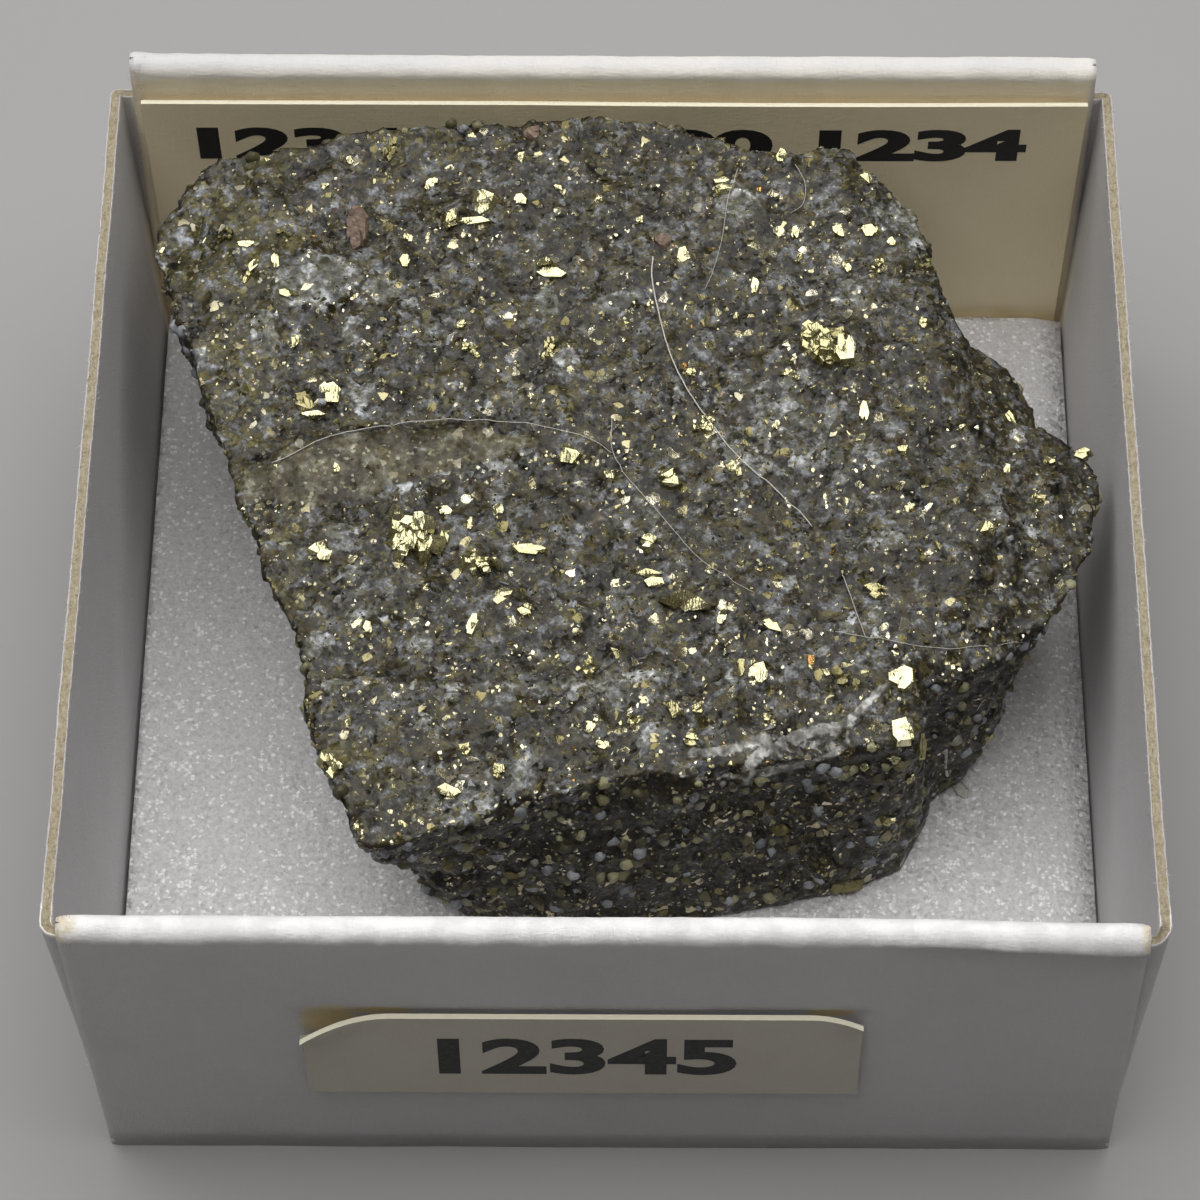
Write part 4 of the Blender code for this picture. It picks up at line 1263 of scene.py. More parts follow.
# %% Crystals: the list
CRYSTALS = [
    (328, 395, 24, 22, 20, "flat", 0.88), (308, 402, 22, 22, 20, "blocks", 0.35),
    (312, 414, 24, 6, 10, "flat", 0.85), (478, 204, 36, 24, 20, "blocks", 0.86),
    (452, 213, 16, 26, 10, "blocks", 0.72), (470, 222, 32, 7, 5, "flat", 0.8),
    (820, 340, 42, 38, 20, "crumbs", 0.62), (836, 334, 22, 14, 10, "blocks", 0.4),
    (842, 346, 20, 34, 10, "flat", 0.8), (830, 350, 26, 28, 10, "blocks", 0.45),
    (412, 532, 40, 44, 0, "crumbs", 0.84), (445, 542, 9, 18, 10, "blocks", 0.74),
    (321, 552, 26, 22, 0, "blocks", 0.82), (480, 562, 28, 20, -10, "crumbs", 0.76),
    (546, 268, 34, 20, 0, "steps", 0.8), (757, 674, 18, 24, -20, "flat", 0.92),
    (743, 670, 12, 20, 0, "blocks", 0.45), (904, 677, 24, 20, -35, "flat", 0.88),
    (902, 732, 18, 24, 10, "flat", 0.84), (920, 744, 8, 24, 10, "flat", 0.7),
    (786, 156, 18, 16, 0, "blocks", 0.8), (867, 180, 20, 16, 0, "blocks", 0.84),
    (725, 184, 24, 14, 0, "steps", 0.8), (684, 256, 12, 14, 0, "flat", 0.8),
    (611, 477, 16, 16, 0, "blocks", 0.85), (568, 453, 20, 22, 0, "steps", 0.8),
    (667, 478, 22, 20, 30, "steps", 0.74), (644, 544, 24, 18, 0, "blocks", 0.88),
    (688, 603, 40, 20, 5, "steps", 0.78), (652, 580, 30, 16, -5, "steps", 0.72),
    (880, 592, 28, 14, -10, "steps", 0.56), (838, 677, 22, 20, 30, "blocks", 0.14),
    (676, 706, 20, 18, 0, "blocks", 0.52), (696, 709, 16, 12, 0, "blocks", 0.6),
    (334, 764, 22, 26, 20, "crumbs", 0.76), (866, 410, 10, 18, 0, "flat", 0.86),
    (986, 525, 22, 14, 0, "blocks", 0.72), (463, 748, 20, 14, 0, "blocks", 0.66),
    (499, 770, 16, 14, 0, "blocks", 0.7), (448, 791, 18, 9, -20, "flat", 0.8),
    (347, 724, 12, 14, 0, "blocks", 0.84), (357, 829, 12, 10, 0, "blocks", 0.8),
    (367, 626, 10, 13, 0, "flat", 0.84), (472, 626, 11, 20, -15, "flat", 0.86),
    (501, 598, 22, 16, 0, "steps", 0.8), (526, 609, 20, 12, -15, "steps", 0.8),
    (527, 550, 28, 8, -8, "flat", 0.74), (500, 512, 12, 14, 0, "blocks", 0.84),
    (446, 512, 12, 10, 0, "flat", 0.8), (472, 525, 12, 12, 0, "blocks", 0.76),
    (1013, 423, 12, 22, 30, "blocks", 0.7), (1078, 455, 20, 12, 0, "steps", 0.72),
    (1049, 463, 12, 10, 0, "blocks", 0.7), (1040, 498, 22, 12, 0, "blocks", 0.6),
    (1004, 470, 10, 12, 0, "blocks", 0.98), (893, 757, 14, 12, 0, "blocks", 0.86),
    (866, 765, 12, 10, 0, "blocks", 0.8), (908, 778, 12, 12, 0, "blocks", 0.76),
    (889, 819, 12, 10, 0, "blocks", 0.7), (722, 617, 14, 12, 20, "flat", 0.86),
    (773, 627, 8, 15, 60, "flat", 0.8), (812, 664, 12, 12, 0, "blocks", 0.98),
    (768, 723, 18, 14, 0, "crumbs", 0.68), (693, 742, 20, 12, -20, "steps", 0.6),
    (601, 745, 12, 8, -20, "flat", 0.84), (590, 728, 11, 10, 0, "flat", 0.86),
    (634, 722, 18, 12, 0, "crumbs", 0.66), (587, 668, 22, 18, 0, "crumbs", 0.56),
    (779, 232, 12, 12, 0, "flat", 0.88), (795, 232, 7, 12, 0, "flat", 0.8),
    (839, 232, 10, 14, 30, "flat", 0.84), (868, 232, 16, 10, 0, "flat", 0.84),
    (890, 243, 9, 8, 0, "flat", 0.8), (800, 259, 12, 10, 30, "crumbs", 0.76),
    (847, 269, 8, 10, 0, "flat", 0.8), (876, 266, 14, 14, 0, "crumbs", 0.7),
    (922, 324, 12, 10, 0, "blocks", 0.7), (755, 287, 8, 16, 0, "flat", 0.8),
    (792, 376, 18, 14, 0, "crumbs", 0.7), (777, 425, 14, 14, 0, "blocks", 0.8),
    (908, 508, 14, 12, 0, "blocks", 0.7), (408, 240, 10, 12, 0, "blocks", 0.8),
    (404, 262, 8, 12, 0, "flat", 0.78), (254, 266, 9, 12, -30, "flat", 0.84),
    (248, 277, 8, 14, -30, "steps", 0.6), (246, 245, 16, 6, 0, "flat", 0.9),
    (275, 262, 8, 12, 20, "flat", 0.8), (286, 294, 16, 7, -25, "flat", 0.84),
    (326, 187, 10, 8, 0, "blocks", 0.8), (350, 162, 12, 10, 0, "blocks", 0.84),
    (431, 184, 14, 9, 30, "flat", 0.88), (389, 150, 18, 24, 0, "crumbs", 0.2),
    (225, 236, 16, 14, 0, "crumbs", 0.1), (284, 236, 18, 9, 0, "crumbs", 0.16),
    (336, 470, 10, 10, 0, "blocks", 0.8), (295, 340, 10, 12, 0, "blocks", 0.8),
    (460, 325, 12, 10, 0, "blocks", 0.74), (470, 352, 22, 14, 0, "crumbs", 0.66),
    (548, 350, 20, 22, 0, "crumbs", 0.5), (520, 200, 12, 10, 0, "flat", 0.84),
    (560, 190, 12, 12, 0, "blocks", 0.76), (520, 160, 10, 10, 0, "blocks", 0.8),
    (600, 200, 10, 10, 0, "blocks", 0.84), (640, 220, 10, 10, 0, "blocks", 0.8),
    (690, 375, 14, 12, 0, "blocks", 0.7), (705, 425, 22, 16, 0, "crumbs", 0.7),
    (735, 470, 14, 16, 0, "blocks", 0.76), (922, 263, 20, 14, 0, "crumbs", 0.2),
    (900, 450, 14, 16, 0, "blocks", 0.7), (845, 883, 40, 22, 20, "blocks", 0.2),
    (780, 826, 30, 20, 20, "blocks", 0.14), (449, 862, 18, 12, 0, "blocks", 0.14),
    (513, 873, 18, 12, 0, "blocks", 0.14), (480, 850, 14, 10, 0, "blocks", 0.1),
    (422, 880, 9, 6, 0, "blocks", 0.1),
]
print("large crystals:", len(CRYSTALS))

# %% [markdown]
# A crystal's flakes are laid on the rock and tilted a little from the flash direction,
# so that most of them mirror the light. The kind says how loose and uneven they are.

# %% Crystals: placing
LOOSE_TILT = {"flat": 0.05, "blocks": 0.18, "steps": 0.20, "crumbs": 0.30}
STEP_TILT = 0.2
UNEVEN = {"flat": 0.07, "blocks": 0.26, "steps": 0.18, "crumbs": 0.25}
CRUMB_SIZE, CRUMB_REACH = 0.36, 0.45
STAINED_TONE, BRIGHTEST_TONE = 0.95, 0.93
FLAKE_SIDES = 6


def flake_layout(kind, length, width, draw):
    """Each flake's place to the right and back, and its shares of the length and width."""
    if kind == "flat":
        return [(0.0, 0.0, 1.1, 1.05), (draw(0.15, 0.35), draw(-0.3, 0.3), 0.7, 0.7),
                (draw(-0.35, -0.15), draw(-0.3, 0.3), 0.55, 0.55)]
    if kind == "blocks":
        return [(draw(-0.25, 0.25), draw(-0.25, 0.25), draw(0.5, 0.8), draw(0.5, 0.8))
                for _ in range(3)]
    if kind == "steps":
        return [(draw(-0.15, 0.15), back, draw(0.6, 1.0), broad)
                for back, broad in ((-0.2, 0.62), (0.26, 0.5))]
    crumbs = [(draw(-0.4, 0.4), draw(-0.4, 0.4), CRUMB_SIZE, CRUMB_SIZE)
              for _ in range(int(7 + length * width * 6))]
    return [crumb for crumb in crumbs
            if (crumb[0] / CRUMB_REACH) ** 2 + (crumb[1] / CRUMB_REACH) ** 2 <= 1.1]


def place_crystal(flakes, px, py, wide, high, degrees, kind, tone):
    """One crystal of some flakes at a place in the photograph."""
    spot, skin = seen_at(px, py)
    if spot is None:
        return
    flash = flash_normal(spot)
    draw = flakes.random.uniform
    length, width = wide / PIXELS_PER_MM, high / DEPTH_PIXELS_PER_MM
    turn = math.radians(degrees)
    along = Vector((math.cos(turn), math.sin(turn), 0.0))
    across = Vector((-along.y, along.x, 0.0))
    thick = min(length, width) * 0.45 + 0.2
    brightest = 1.0 if tone > STAINED_TONE else BRIGHTEST_TONE
    layout = flake_layout(kind, length, width, draw)
    for index, (right, back, share_long, share_wide) in enumerate(layout):
        offset = along * right * length + across * back * width
        offset -= skin * offset.dot(skin)
        lift = 0.08 + 0.05 * draw() + 0.05 * max(length, width)
        loose = STEP_TILT if kind == "flat" and index else LOOSE_TILT[kind]
        facing = (flash + Vector(flakes.random.normal(size=3)) * loose).normalized()
        if facing.dot(skin) < 0.5:
            facing = (facing + skin).normalized()
        size = draw(0.85, 1.15)
        flake_tone = np.clip(tone + draw(-0.1, 0.08), 0.0, brightest)
        flakes.add(spot + offset + skin * lift, facing, along, length * share_long * size,
                   width * share_wide * size, thick, flake_tone, FLAKE_SIDES, UNEVEN[kind])


flakes = Flakes(5)
for crystal in CRYSTALS:
    place_crystal(flakes, *crystal)
keep_piece(flakes.finish("pyrite_crystals", PYRITE), "ore")

# %% [markdown]
# Three small grains are pinkish brown and dull, not metal. They are made of flakes too,
# with a grainy clay-like finish.

# %% Pink grains
PINK_GRAINS = [(354, 230, 22, 34), (533, 133, 18, 14), (661, 241, 18, 12)]
PINK_FLAKES = ((0.0, 1.0), (0.25, 0.6), (-0.25, 0.6))
PINK_THICK, PINK_TONE, PINK_SIDES = 0.3, 0.5, 9


def make_pink():
    """Dull pinkish brown mineral."""
    material, tree, where = new_material("pink_grain", IOR=1.5)
    blotch = cloud(tree, where, 3.0, 4.0, 0.65)
    grit = cloud(tree, where, 11.0, 3.0, 0.6)
    colour = shades(tree, blotch, (0.3, 0.075, 0.05, 0.04), (0.5, 0.20, 0.135, 0.10),
                    (0.7, 0.34, 0.26, 0.20))
    return finished(material, Base_Color=colour, Roughness=follows(tree, grit, 0.55, 0.8),
                    Normal=raised(tree, grit, 0.08))


pink = Flakes(9)
for px, py, wide, high in PINK_GRAINS:
    spot, skin = seen_at(px, py)
    length, width = wide / PIXELS_PER_MM, high / DEPTH_PIXELS_PER_MM
    for shift, size in PINK_FLAKES:
        facing = (skin + Vector(pink.random.normal(size=3)) * 0.2).normalized()
        place = spot + skin * 0.12 + Vector((0.1, shift * high / DEPTH_PIXELS_PER_MM, 0))
        pink.add(place, facing, Vector((1, 0, 0)), length * size, width * size, PINK_THICK,
                 PINK_TONE, PINK_SIDES)
keep_piece(pink.finish("pink_grains", make_pink()), "ore")

# %% [markdown]
# A few fine hairs of dust lie on the rock, the longest a pale thread. They were traced in
# the photograph, and rays from the camera lay them on the rock. A smooth curve goes
# through the traced points, a thin tube goes round it, and it floats just over the skin.

# %% Tube helpers
def grid_faces(rows, columns, ring=False, start=0):
    """Quads between rows of points; with ring each row closes on itself."""
    faces = []
    for row in range(rows - 1):
        for column in range(columns if ring else columns - 1):
            a = start + row * columns + column
            b = start + row * columns + (column + 1) % columns
            faces.append((a, b, b + columns, a + columns))
    return faces


def shell_faces(rows, columns, start=0):
    """Quads round a row of closed loops, and a lid on each end."""
    first_lid = tuple(range(start, start + columns))[::-1]
    last_lid = tuple(range(start + (rows - 1) * columns, start + rows * columns))
    return grid_faces(rows, columns, True, start) + [first_lid, last_lid]


def heading(path, index):
    """The direction of a path at one of its points."""
    return (path[min(index + 1, len(path) - 1)] - path[max(index - 1, 0)]).normalized()


def tube(path, radius_at, sides, start=0):
    """Points and faces of a closed tube round a path."""
    points = []
    for index, point in enumerate(path):
        ahead = heading(path, index)
        side = ahead.cross(Vector((0, 0, 1)))
        side = side.normalized() if side.length > 0.01 else Vector((1, 0, 0))
        other = side.cross(ahead)
        radius = radius_at(index / (len(path) - 1))
        for corner in range(sides):
            angle = corner / sides * math.tau
            around = side * math.cos(angle) + other * math.sin(angle)
            points.append(point + around * radius)
    return points, shell_faces(len(path), sides, start)


def laid_path(traced, lift):
    """A traced line laid on the rock, smooth and never under the skin."""
    spots = [seen_at(point.x, point.y)[0] for point in smooth_path(traced, 8)]
    spots = [spot for spot in spots if spot is not None]
    heights = np.array([spot.z for spot in spots])
    for _ in range(6):
        soft = np.convolve(np.pad(heights, 1, "edge"), (0.25, 0.5, 0.25), "valid")
        heights = np.maximum(soft, heights - 0.02)
    return [Vector((spot.x, spot.y, height + lift)) for spot, height in zip(spots, heights)]


print("tube helpers ready")

# %% [markdown]
# Each hair has its radius in millimetres and its traced line in the photograph's pixels.
# It gets thinner towards its end.

# %% Dust hairs
HAIRS = [
    (0.036, [(653, 258), (652, 280), (660, 320), (672, 360), (690, 395), (715, 430),
         (740, 460), (775, 490), (812, 527)]),
    (0.019, [(272, 465), (330, 438), (400, 425), (470, 421), (540, 427), (590, 440),
         (612, 455)]),
    (0.015, [(612, 420), (612, 450), (625, 475), (660, 515), (700, 560), (755, 595)]),
    (0.015, [(738, 170), (728, 200), (722, 240), (712, 275), (705, 290)]),
    (0.014, [(795, 165), (805, 185), (803, 205), (790, 215)]),
    (0.018, [(842, 575), (855, 610), (866, 640)]),
    (0.012, [(835, 633), (880, 640), (950, 650), (1020, 643), (1028, 650)]),
    (0.014, [(975, 715), (985, 700), (1000, 700)]),
]
HAIR_LIFT = 0.10
HAIR_TAPER = 0.35
HAIR_SIDES = 5
HAIR = one_cloud_material("hair", (2.0, 3.0), [(0, 0.50, 0.475, 0.41), (1, 0.84, 0.82, 0.77)],
                          (0.3, 0.45), 0.01, IOR=1.5, Transmission_Weight=0.2)

hair_points, hair_faces = [], []
for radius, traced in HAIRS:
    path = laid_path(traced, HAIR_LIFT)
    points, faces = tube(path, lambda share: radius * (1 - HAIR_TAPER * share), HAIR_SIDES,
                         len(hair_points))
    hair_points += points
    hair_faces += faces
keep_piece(mesh_object("dust_hairs", hair_points, hair_faces, [HAIR], smooth=True), "ore")

# %% [markdown]
# Old glue left a greyish film on the rock, which the rock's own finish shows. A white drop
# of it hangs at the rock's right front edge, and some was smeared on the foam below.

# %% Glue drop and smear
DROP = [(944, 750), (946, 757), (945, 766), (947, 778)]
SMEAR = [(949, 777), (955, 783), (961, 790), (966, 798)]
DROP_LIFT, DROP_RADIUS, DROP_HEAD = 0.08, 0.07, 0.09
SMEAR_LIFT, SMEAR_HALF, SMEAR_THICK = 0.02, 0.32, 0.03
BAND_SECTION = ((-1, 0.2), (-0.5, 1), (0.5, 1), (1, 0.2), (0.5, -1), (-0.5, -1))


def flat_band(path, half_width, thick, random):
    """Points and faces of a thin band along a path, with ragged edges."""
    points = []
    for index, point in enumerate(path):
        side = heading(path, index).cross(Vector((0, 0, 1))).normalized()
        end = min(1.0, 3.5 * min(index, len(path) - 1 - index) / len(path) + 0.25)
        wide = half_width * end * random.uniform(0.75, 1.2)
        for across, up in BAND_SECTION:
            points.append(point + side * across * wide + Vector((0, 0, up * thick)))
    return points, shell_faces(len(path), len(BAND_SECTION))


GLUE = one_cloud_material(
    "dried_glue", (2.4, 5.0, 0.6, 0.5), [(0.3, 0.50, 0.47, 0.41), (0.5, 0.68, 0.65, 0.58),
                                         (0.7, 0.86, 0.84, 0.79)],
    (0.3, 0.5), 0.10, IOR=1.48, Transmission_Weight=0.15)
points, faces = tube(laid_path(DROP, DROP_LIFT),
                     lambda share: DROP_RADIUS + DROP_HEAD * max(0.0, 1 - 4 * share), 8)
keep_piece(mesh_object("glue_drop", points, faces, [GLUE], smooth=True), "ore")
smear_path = []
for place in smooth_path(SMEAR, 5):
    ray = pixel_ray(place.x, place.y)
    reach = (FOAM_TOP + SMEAR_LIFT - CAMERA_PLACE.z) / ray.z
    smear_path.append(CAMERA_PLACE + ray * reach)
points, faces = flat_band(smear_path, SMEAR_HALF, SMEAR_THICK, np.random.RandomState(3))
keep_piece(mesh_object("glue_smear", points, faces, [GLUE], smooth=True), "foam")

# %% [markdown]
# Card is pressed fibre: a faint cloudy colour, tiny bumps and a soft sheen. The tray and
# both labels share it, so it is a shader group with the place, two colours and the
# strength of its clouds as inputs.

# %% Shader group: card fibres
def make_fibre_group():
    """Fibres: cloudy tint, fine fibrous height."""
    tree, given, out = new_group(
        "card fibres",
        {"Where": "Vector", "Colour": "Color", "Shade": "Color", "Cloud": "Float"},
        {"Colour": "Color", "Height": "Float", "Roughness": "Float"})
    ways = [cloud(tree, vector(tree, "MULTIPLY", given["Where"], stretch), 1.0, 4.0, 0.6, 0.8)
            for stretch in ((9.0, 1.6, 1.6), (1.8, 8.0, 8.0))]
    pores = cloud(tree, given["Where"], 11.0, 3.0, 0.6)
    stain = cloud(tree, given["Where"], 0.16, 5.0, 0.6)
    fibres = maths(tree, "ADD", *ways)
    shade_share = total(tree, (stain, given["Cloud"]), (fibres, 0.25))
    shaded = mix(tree, step(tree, shade_share, 0.45, 1.0), given["Colour"], given["Shade"])
    for name, source in (("Colour", shaded), ("Height", total(tree, (pores, 0.5), (fibres, 1))),
                         ("Roughness", follows(tree, pores, 0.55, 0.72))):
        plug(tree, source, out[name])
    return tree


FIBRES = make_fibre_group()


def fibres(tree, where, colour, shade, cloudiness):
    """The fibre group placed in a material."""
    inputs = {"Where": where, "Colour": (*colour, 1.0), "Shade": (*shade, 1.0),
              "Cloud": cloudiness}
    return add(tree, "ShaderNodeGroup", inputs, node_tree=FIBRES).outputs


def near(tree, where, middle, size, ragged):
    """1 inside an ellipsoid round a place, with a ragged edge."""
    inside = vector(tree, "DIVIDE", vector(tree, "SUBTRACT", where, middle), size)
    reach = total(tree, (ragged, 0.8), (vector(tree, "LENGTH", inside), 1))
    return step(tree, reach, 1.0, 1.5, 1.0, 0.0)


print("fibre group ready")

# %% [markdown]
# The tray's card is greyish white paper over a tan core, tan at its worn corners. Its
# folded rims are painted whiter than its walls, a painted highlight where the light falls
# on them, broken by ragged wear, and under the back fold's rim a band is painted brighter
# still, painted light in place of the fold's shade. Glue has stained the front wall behind
# the label's upper corners, and the back wall is yellower above the name card. The cut
# edges show the core, which is speckled and rough.

# %% Card materials
GLUE_STAINS = [((-10.4, -20.3, 11.0), (1.35, 0.75, 1.35)),
               ((-8.6, -20.3, 11.8), (1.5, 0.75, 0.3)),
               ((8.5, -20.3, 11.8), (1.2, 0.75, 0.32))]
WORN_CORNERS = [((-20.1, -20.0, 17.9), (0.85, 1.5, 1.1)),
                ((20.0, -20.2, 17.5), (0.4, 1.2, 0.8))]
BACK_SLOPE = -0.031


def make_card():
    """White tray card, its folds painted whiter where the light falls, with ragged wear."""
    material, tree, where = new_material("tray_card", IOR=1.45, Sheen_Weight=0.1)
    paper = fibres(tree, where, (0.54, 0.525, 0.53), (0.49, 0.47, 0.47), 0.8)
    right, back, up = numbers_in(tree, where, "XYZ")
    ragged = cloud(tree, where, 0.9, 4.0)

    # The warm strip above the name card, then the two folds.
    inner = total(tree, (up, BACK_SLOPE), (back, 1))
    warm = product(tree, step(tree, inner, 17.5, 18.4), step(tree, inner, 19.6, 19.3),
                   step(tree, up, 19.5, 18.8),
                   step(tree, maths(tree, "ABSOLUTE", right), 20.1, 19.6))
    colour = mix(tree, warm, paper["Colour"], (0.97, 0.86, 0.62))
    height = total(tree, (ragged, 0.5), (up, 1))
    # The front rim is painted whiter than the walls: painted highlight, broken by ragged wear.
    front_fold = product(tree, step(tree, back, -18.6, -18.9), step(tree, height, 17.1, 17.5))
    back_fold = product(tree, step(tree, back, 18.2, 18.6), step(tree, height, 18.7, 19.1))
    worn = step(tree, ragged, 0.62, 0.40)
    worn = mix(tree, worn, (0.90, 0.88, 0.875), (0.78, 0.76, 0.755))
    colour = mix(tree, front_fold, colour, worn)
    # Back fold: the top is painted whiter, a painted highlight, and the band below it brighter
    # still, painted light in place of the fold's shade.
    top = mix(tree, step(tree, up, 18.9, 19.3), (0.95, 0.90, 0.80), (0.68, 0.665, 0.665))
    colour = mix(tree, back_fold, colour, top)

    frayed = cloud(tree, where, 2.6, 5.0, 0.7)
    for middle, size in WORN_CORNERS:
        stain = product(tree, near(tree, where, middle, size, frayed),
                        step(tree, frayed, 0.38, 0.56), 0.8)
        colour = mix(tree, stain, colour, (0.70, 0.60, 0.40))
    for middle, size in GLUE_STAINS:
        stain = product(tree, near(tree, where, middle, size, ragged), 0.85)
        colour = mix(tree, stain, colour, (0.66, 0.53, 0.25))
    return finished(material, Base_Color=colour, Roughness=paper["Roughness"],
                    Normal=raised(tree, paper["Height"], 0.03))


def make_raw_core():
    """The tan core at the card's cut edges."""
    material, tree, where = new_material("raw_core", IOR=1.4)
    streak = cloud(tree, vector(tree, "MULTIPLY", where, (3.0, 1.0, 3.0)), 2.2, 5.0, 0.7)
    grit = cloud(tree, where, 8.0, 3.0, 0.7)
    colour = shades(tree, total(tree, (grit, 0.4), (streak, 0.6)), (0.34, 0.20, 0.145, 0.08),
                    (0.43, 0.33, 0.275, 0.18), (0.56, 0.43, 0.375, 0.27),
                    (0.72, 0.55, 0.51, 0.42))
    return finished(material, Base_Color=colour, Roughness=follows(tree, grit, 0.7, 0.9),
                    Normal=raised(tree, grit, 0.10))


CARD = make_card()
RAW_CORE = make_raw_core()
print("card materials:", len(CARD.node_tree.nodes), "nodes")

# %% [markdown]
# The tray is one folded blank. Its front and back walls are doubled over, so their rims
# are soft round folds; its side walls are single, so their rims show the cut card. A
# wall's cross-section is swept along the wall, and small noise makes the folds uneven.

# %% Tray: folded front and back walls
TRAY_LEFT, TRAY_RIGHT = -19.75, 20.0
HALF_DEPTH = 20.0
FOLDED = 1.1
FRONT_HEIGHT, FRONT_LEAN = 17.6, 0.3
BACK_HEIGHT, BACK_LEAN = 19.2, 0.6
WALL_STATIONS = 170
FOLD_RADIUS = 0.50
END_GAP = 0.02
END_PINCH = 0.10


class Skin:
    """Collects closed shells for one mesh, with a finish and a fray value each."""

    def __init__(self):
        self.points, self.faces, self.finishes, self.fray = [], [], [], []

    def loops(self, loops, finish_of=lambda column: 0, fray_of=lambda row, column: 0.0):
        """A closed shell stretched over a row of closed loops."""
        rows, columns = len(loops), len(loops[0])
        self.faces += shell_faces(rows, columns, len(self.points))
        self.points += [tuple(point) for loop in loops for point in loop]
        self.finishes += [finish_of(column) for _ in range(rows - 1) for column in range(columns)]
        self.finishes += [0, 0]
        self.fray += [fray_of(row, column) for row in range(rows) for column in range(columns)]


def fold_section(top, round_high, bulge):
    """Up the outer face, round the fold and down the inner face."""
    fold_foot = top - round_high
    section = [(0.0, z) for z in np.linspace(0, fold_foot, 14)]
    for angle in np.linspace(0, math.pi, 15)[1:-1]:
        across = FOLDED / 2 * (1 - math.cos(angle)) - 0.34 * bulge * (1 + math.cos(angle)) / 2
        section.append((across, fold_foot + round_high * math.sin(angle)))
    return section + [(FOLDED, z) for z in np.linspace(fold_foot, 0.1, 8)]


def folded_loops(sign, height, lean, bulge_of, seed, left_flare, left_rise):
    """Cross-sections of a folded wall from left to right."""
    loops = []
    shares = np.linspace(0, 1, WALL_STATIONS)
    soft = rough_line(shares * 18, seed)
    crisp = rough_line(shares * 70, seed + 1)
    for index, share in enumerate(shares):
        bulge = bulge_of(share)
        round_high = FOLD_RADIUS + 0.05 * soft[index] + 0.55 * bulge
        top = height + 0.05 * soft[index] + 0.015 * crisp[index]
        top += left_rise * (max(0.0, 1 - 2.2 * share) + 1.4 * max(0.0, 1 - 40 * share))
        from_end = min(index, WALL_STATIONS - 1 - index)
        pinch = END_PINCH * max(0.0, 1 - from_end / 2) ** 2
        points = []
        for across, z in fold_section(top, round_high, bulge):
            across = across + pinch * (1 if across < FOLDED / 2 else -1)
            z = min(z, top - pinch)
            left = TRAY_LEFT + END_GAP - left_flare * z / height
            x = left + share * (TRAY_RIGHT - END_GAP - left)
            near_top = min(1.0, max(0.0, (z - top + 1.6) / 1.2))
            dents = 0.03 * noise.noise(Vector((x * 0.25, z * 0.3, seed * 5.0)))
            dents += 0.025 * noise.noise(Vector((x * 1.6, z * 2.6, seed * 9.0))) * near_top
            points.append((x, sign * (HALF_DEPTH - across + dents + lean * z / height), z))
        loops.append(points)
    return loops


def rim_fray(row, column):
    """Frayed only at the left end of a folded rim."""
    return 1.0 if row < 3 and 13 <= column <= 28 else 0.0


tray = Skin()
tray.loops(folded_loops(-1, FRONT_HEIGHT, FRONT_LEAN,
                        lambda share: float(eased(share, 0.72, 0.99)), seed=1,
                        left_flare=0.45, left_rise=0.0), fray_of=rim_fray)
tray.loops(folded_loops(1, BACK_HEIGHT, BACK_LEAN, lambda share: 0.0, seed=2,
                        left_flare=0.10, left_rise=0.11), fray_of=rim_fray)
print("folded walls:", len(tray.faces), "faces")

# %% [markdown]
# A side wall is one sheet. Seen from above it runs along the tray and turns round both
# corners into the folded walls. Its cross-section has white paper outside and inside and
# the bare core on top; the core's height is jittered, so the cut looks torn.

# %% Tray: single side walls
CARD_THICK = 0.45
SIDE_HEIGHT = 17.3
LEFT_FLARE, RIGHT_FLARE = 1.05, 0.8
CORNER_ROUND = 0.5
FLAP_REACH, FLAP_INSET = 2.6, 0.30
FLAP_STATIONS, ROUND_STATIONS, WALL_POINTS = 7, 9, 228
CORNER_STATIONS = FLAP_STATIONS + ROUND_STATIONS
CORE_PLACES = (0.13, 0.18, 0.23, 0.28, 0.33)


def side_path(side):
    """Plan of a side wall's outer face: points and inward normals."""
    wall = TRAY_LEFT if side < 0 else TRAY_RIGHT
    flap = HALF_DEPTH - FLAP_INSET
    path = []
    for x in np.linspace(FLAP_REACH, CORNER_ROUND, FLAP_STATIONS + 1)[:-1]:
        path.append(((wall - side * x, -flap), (0, 1)))
    for angle in np.linspace(0, math.pi / 2, ROUND_STATIONS):
        path.append(((wall - side * CORNER_ROUND * (1 - math.sin(angle)),
                      -flap + CORNER_ROUND * (1 - math.cos(angle))),
                     (-side * math.sin(angle), math.cos(angle))))
    front = list(path)
    straight = np.linspace(-flap + CORNER_ROUND, flap - CORNER_ROUND, WALL_POINTS + 2)[1:-1]
    path += [((wall, y), (-side, 0)) for y in straight]
    return path + [((x, -y), (nx, -ny)) for (x, y), (nx, ny) in reversed(front)]


def side_section(top, random):
    """Up the outer paper, over the torn core and down the inner paper."""
    worn = random.uniform(0.0, 0.04)
    section = [(0.0, z) for z in (*np.linspace(0, top - 0.3, 9), top - 0.05)]
    section += [(0.02, top), (0.05 + worn, top)]
    section += [(across, top - 0.03 + random.uniform(-0.05, 0.03)) for across in CORE_PLACES]
    section += [(0.42 - worn / 2, top), (0.44, top - 0.01)]
    return section + [(CARD_THICK, z) for z in (top - 0.05, *np.linspace(top - 0.3, 0, 9))]


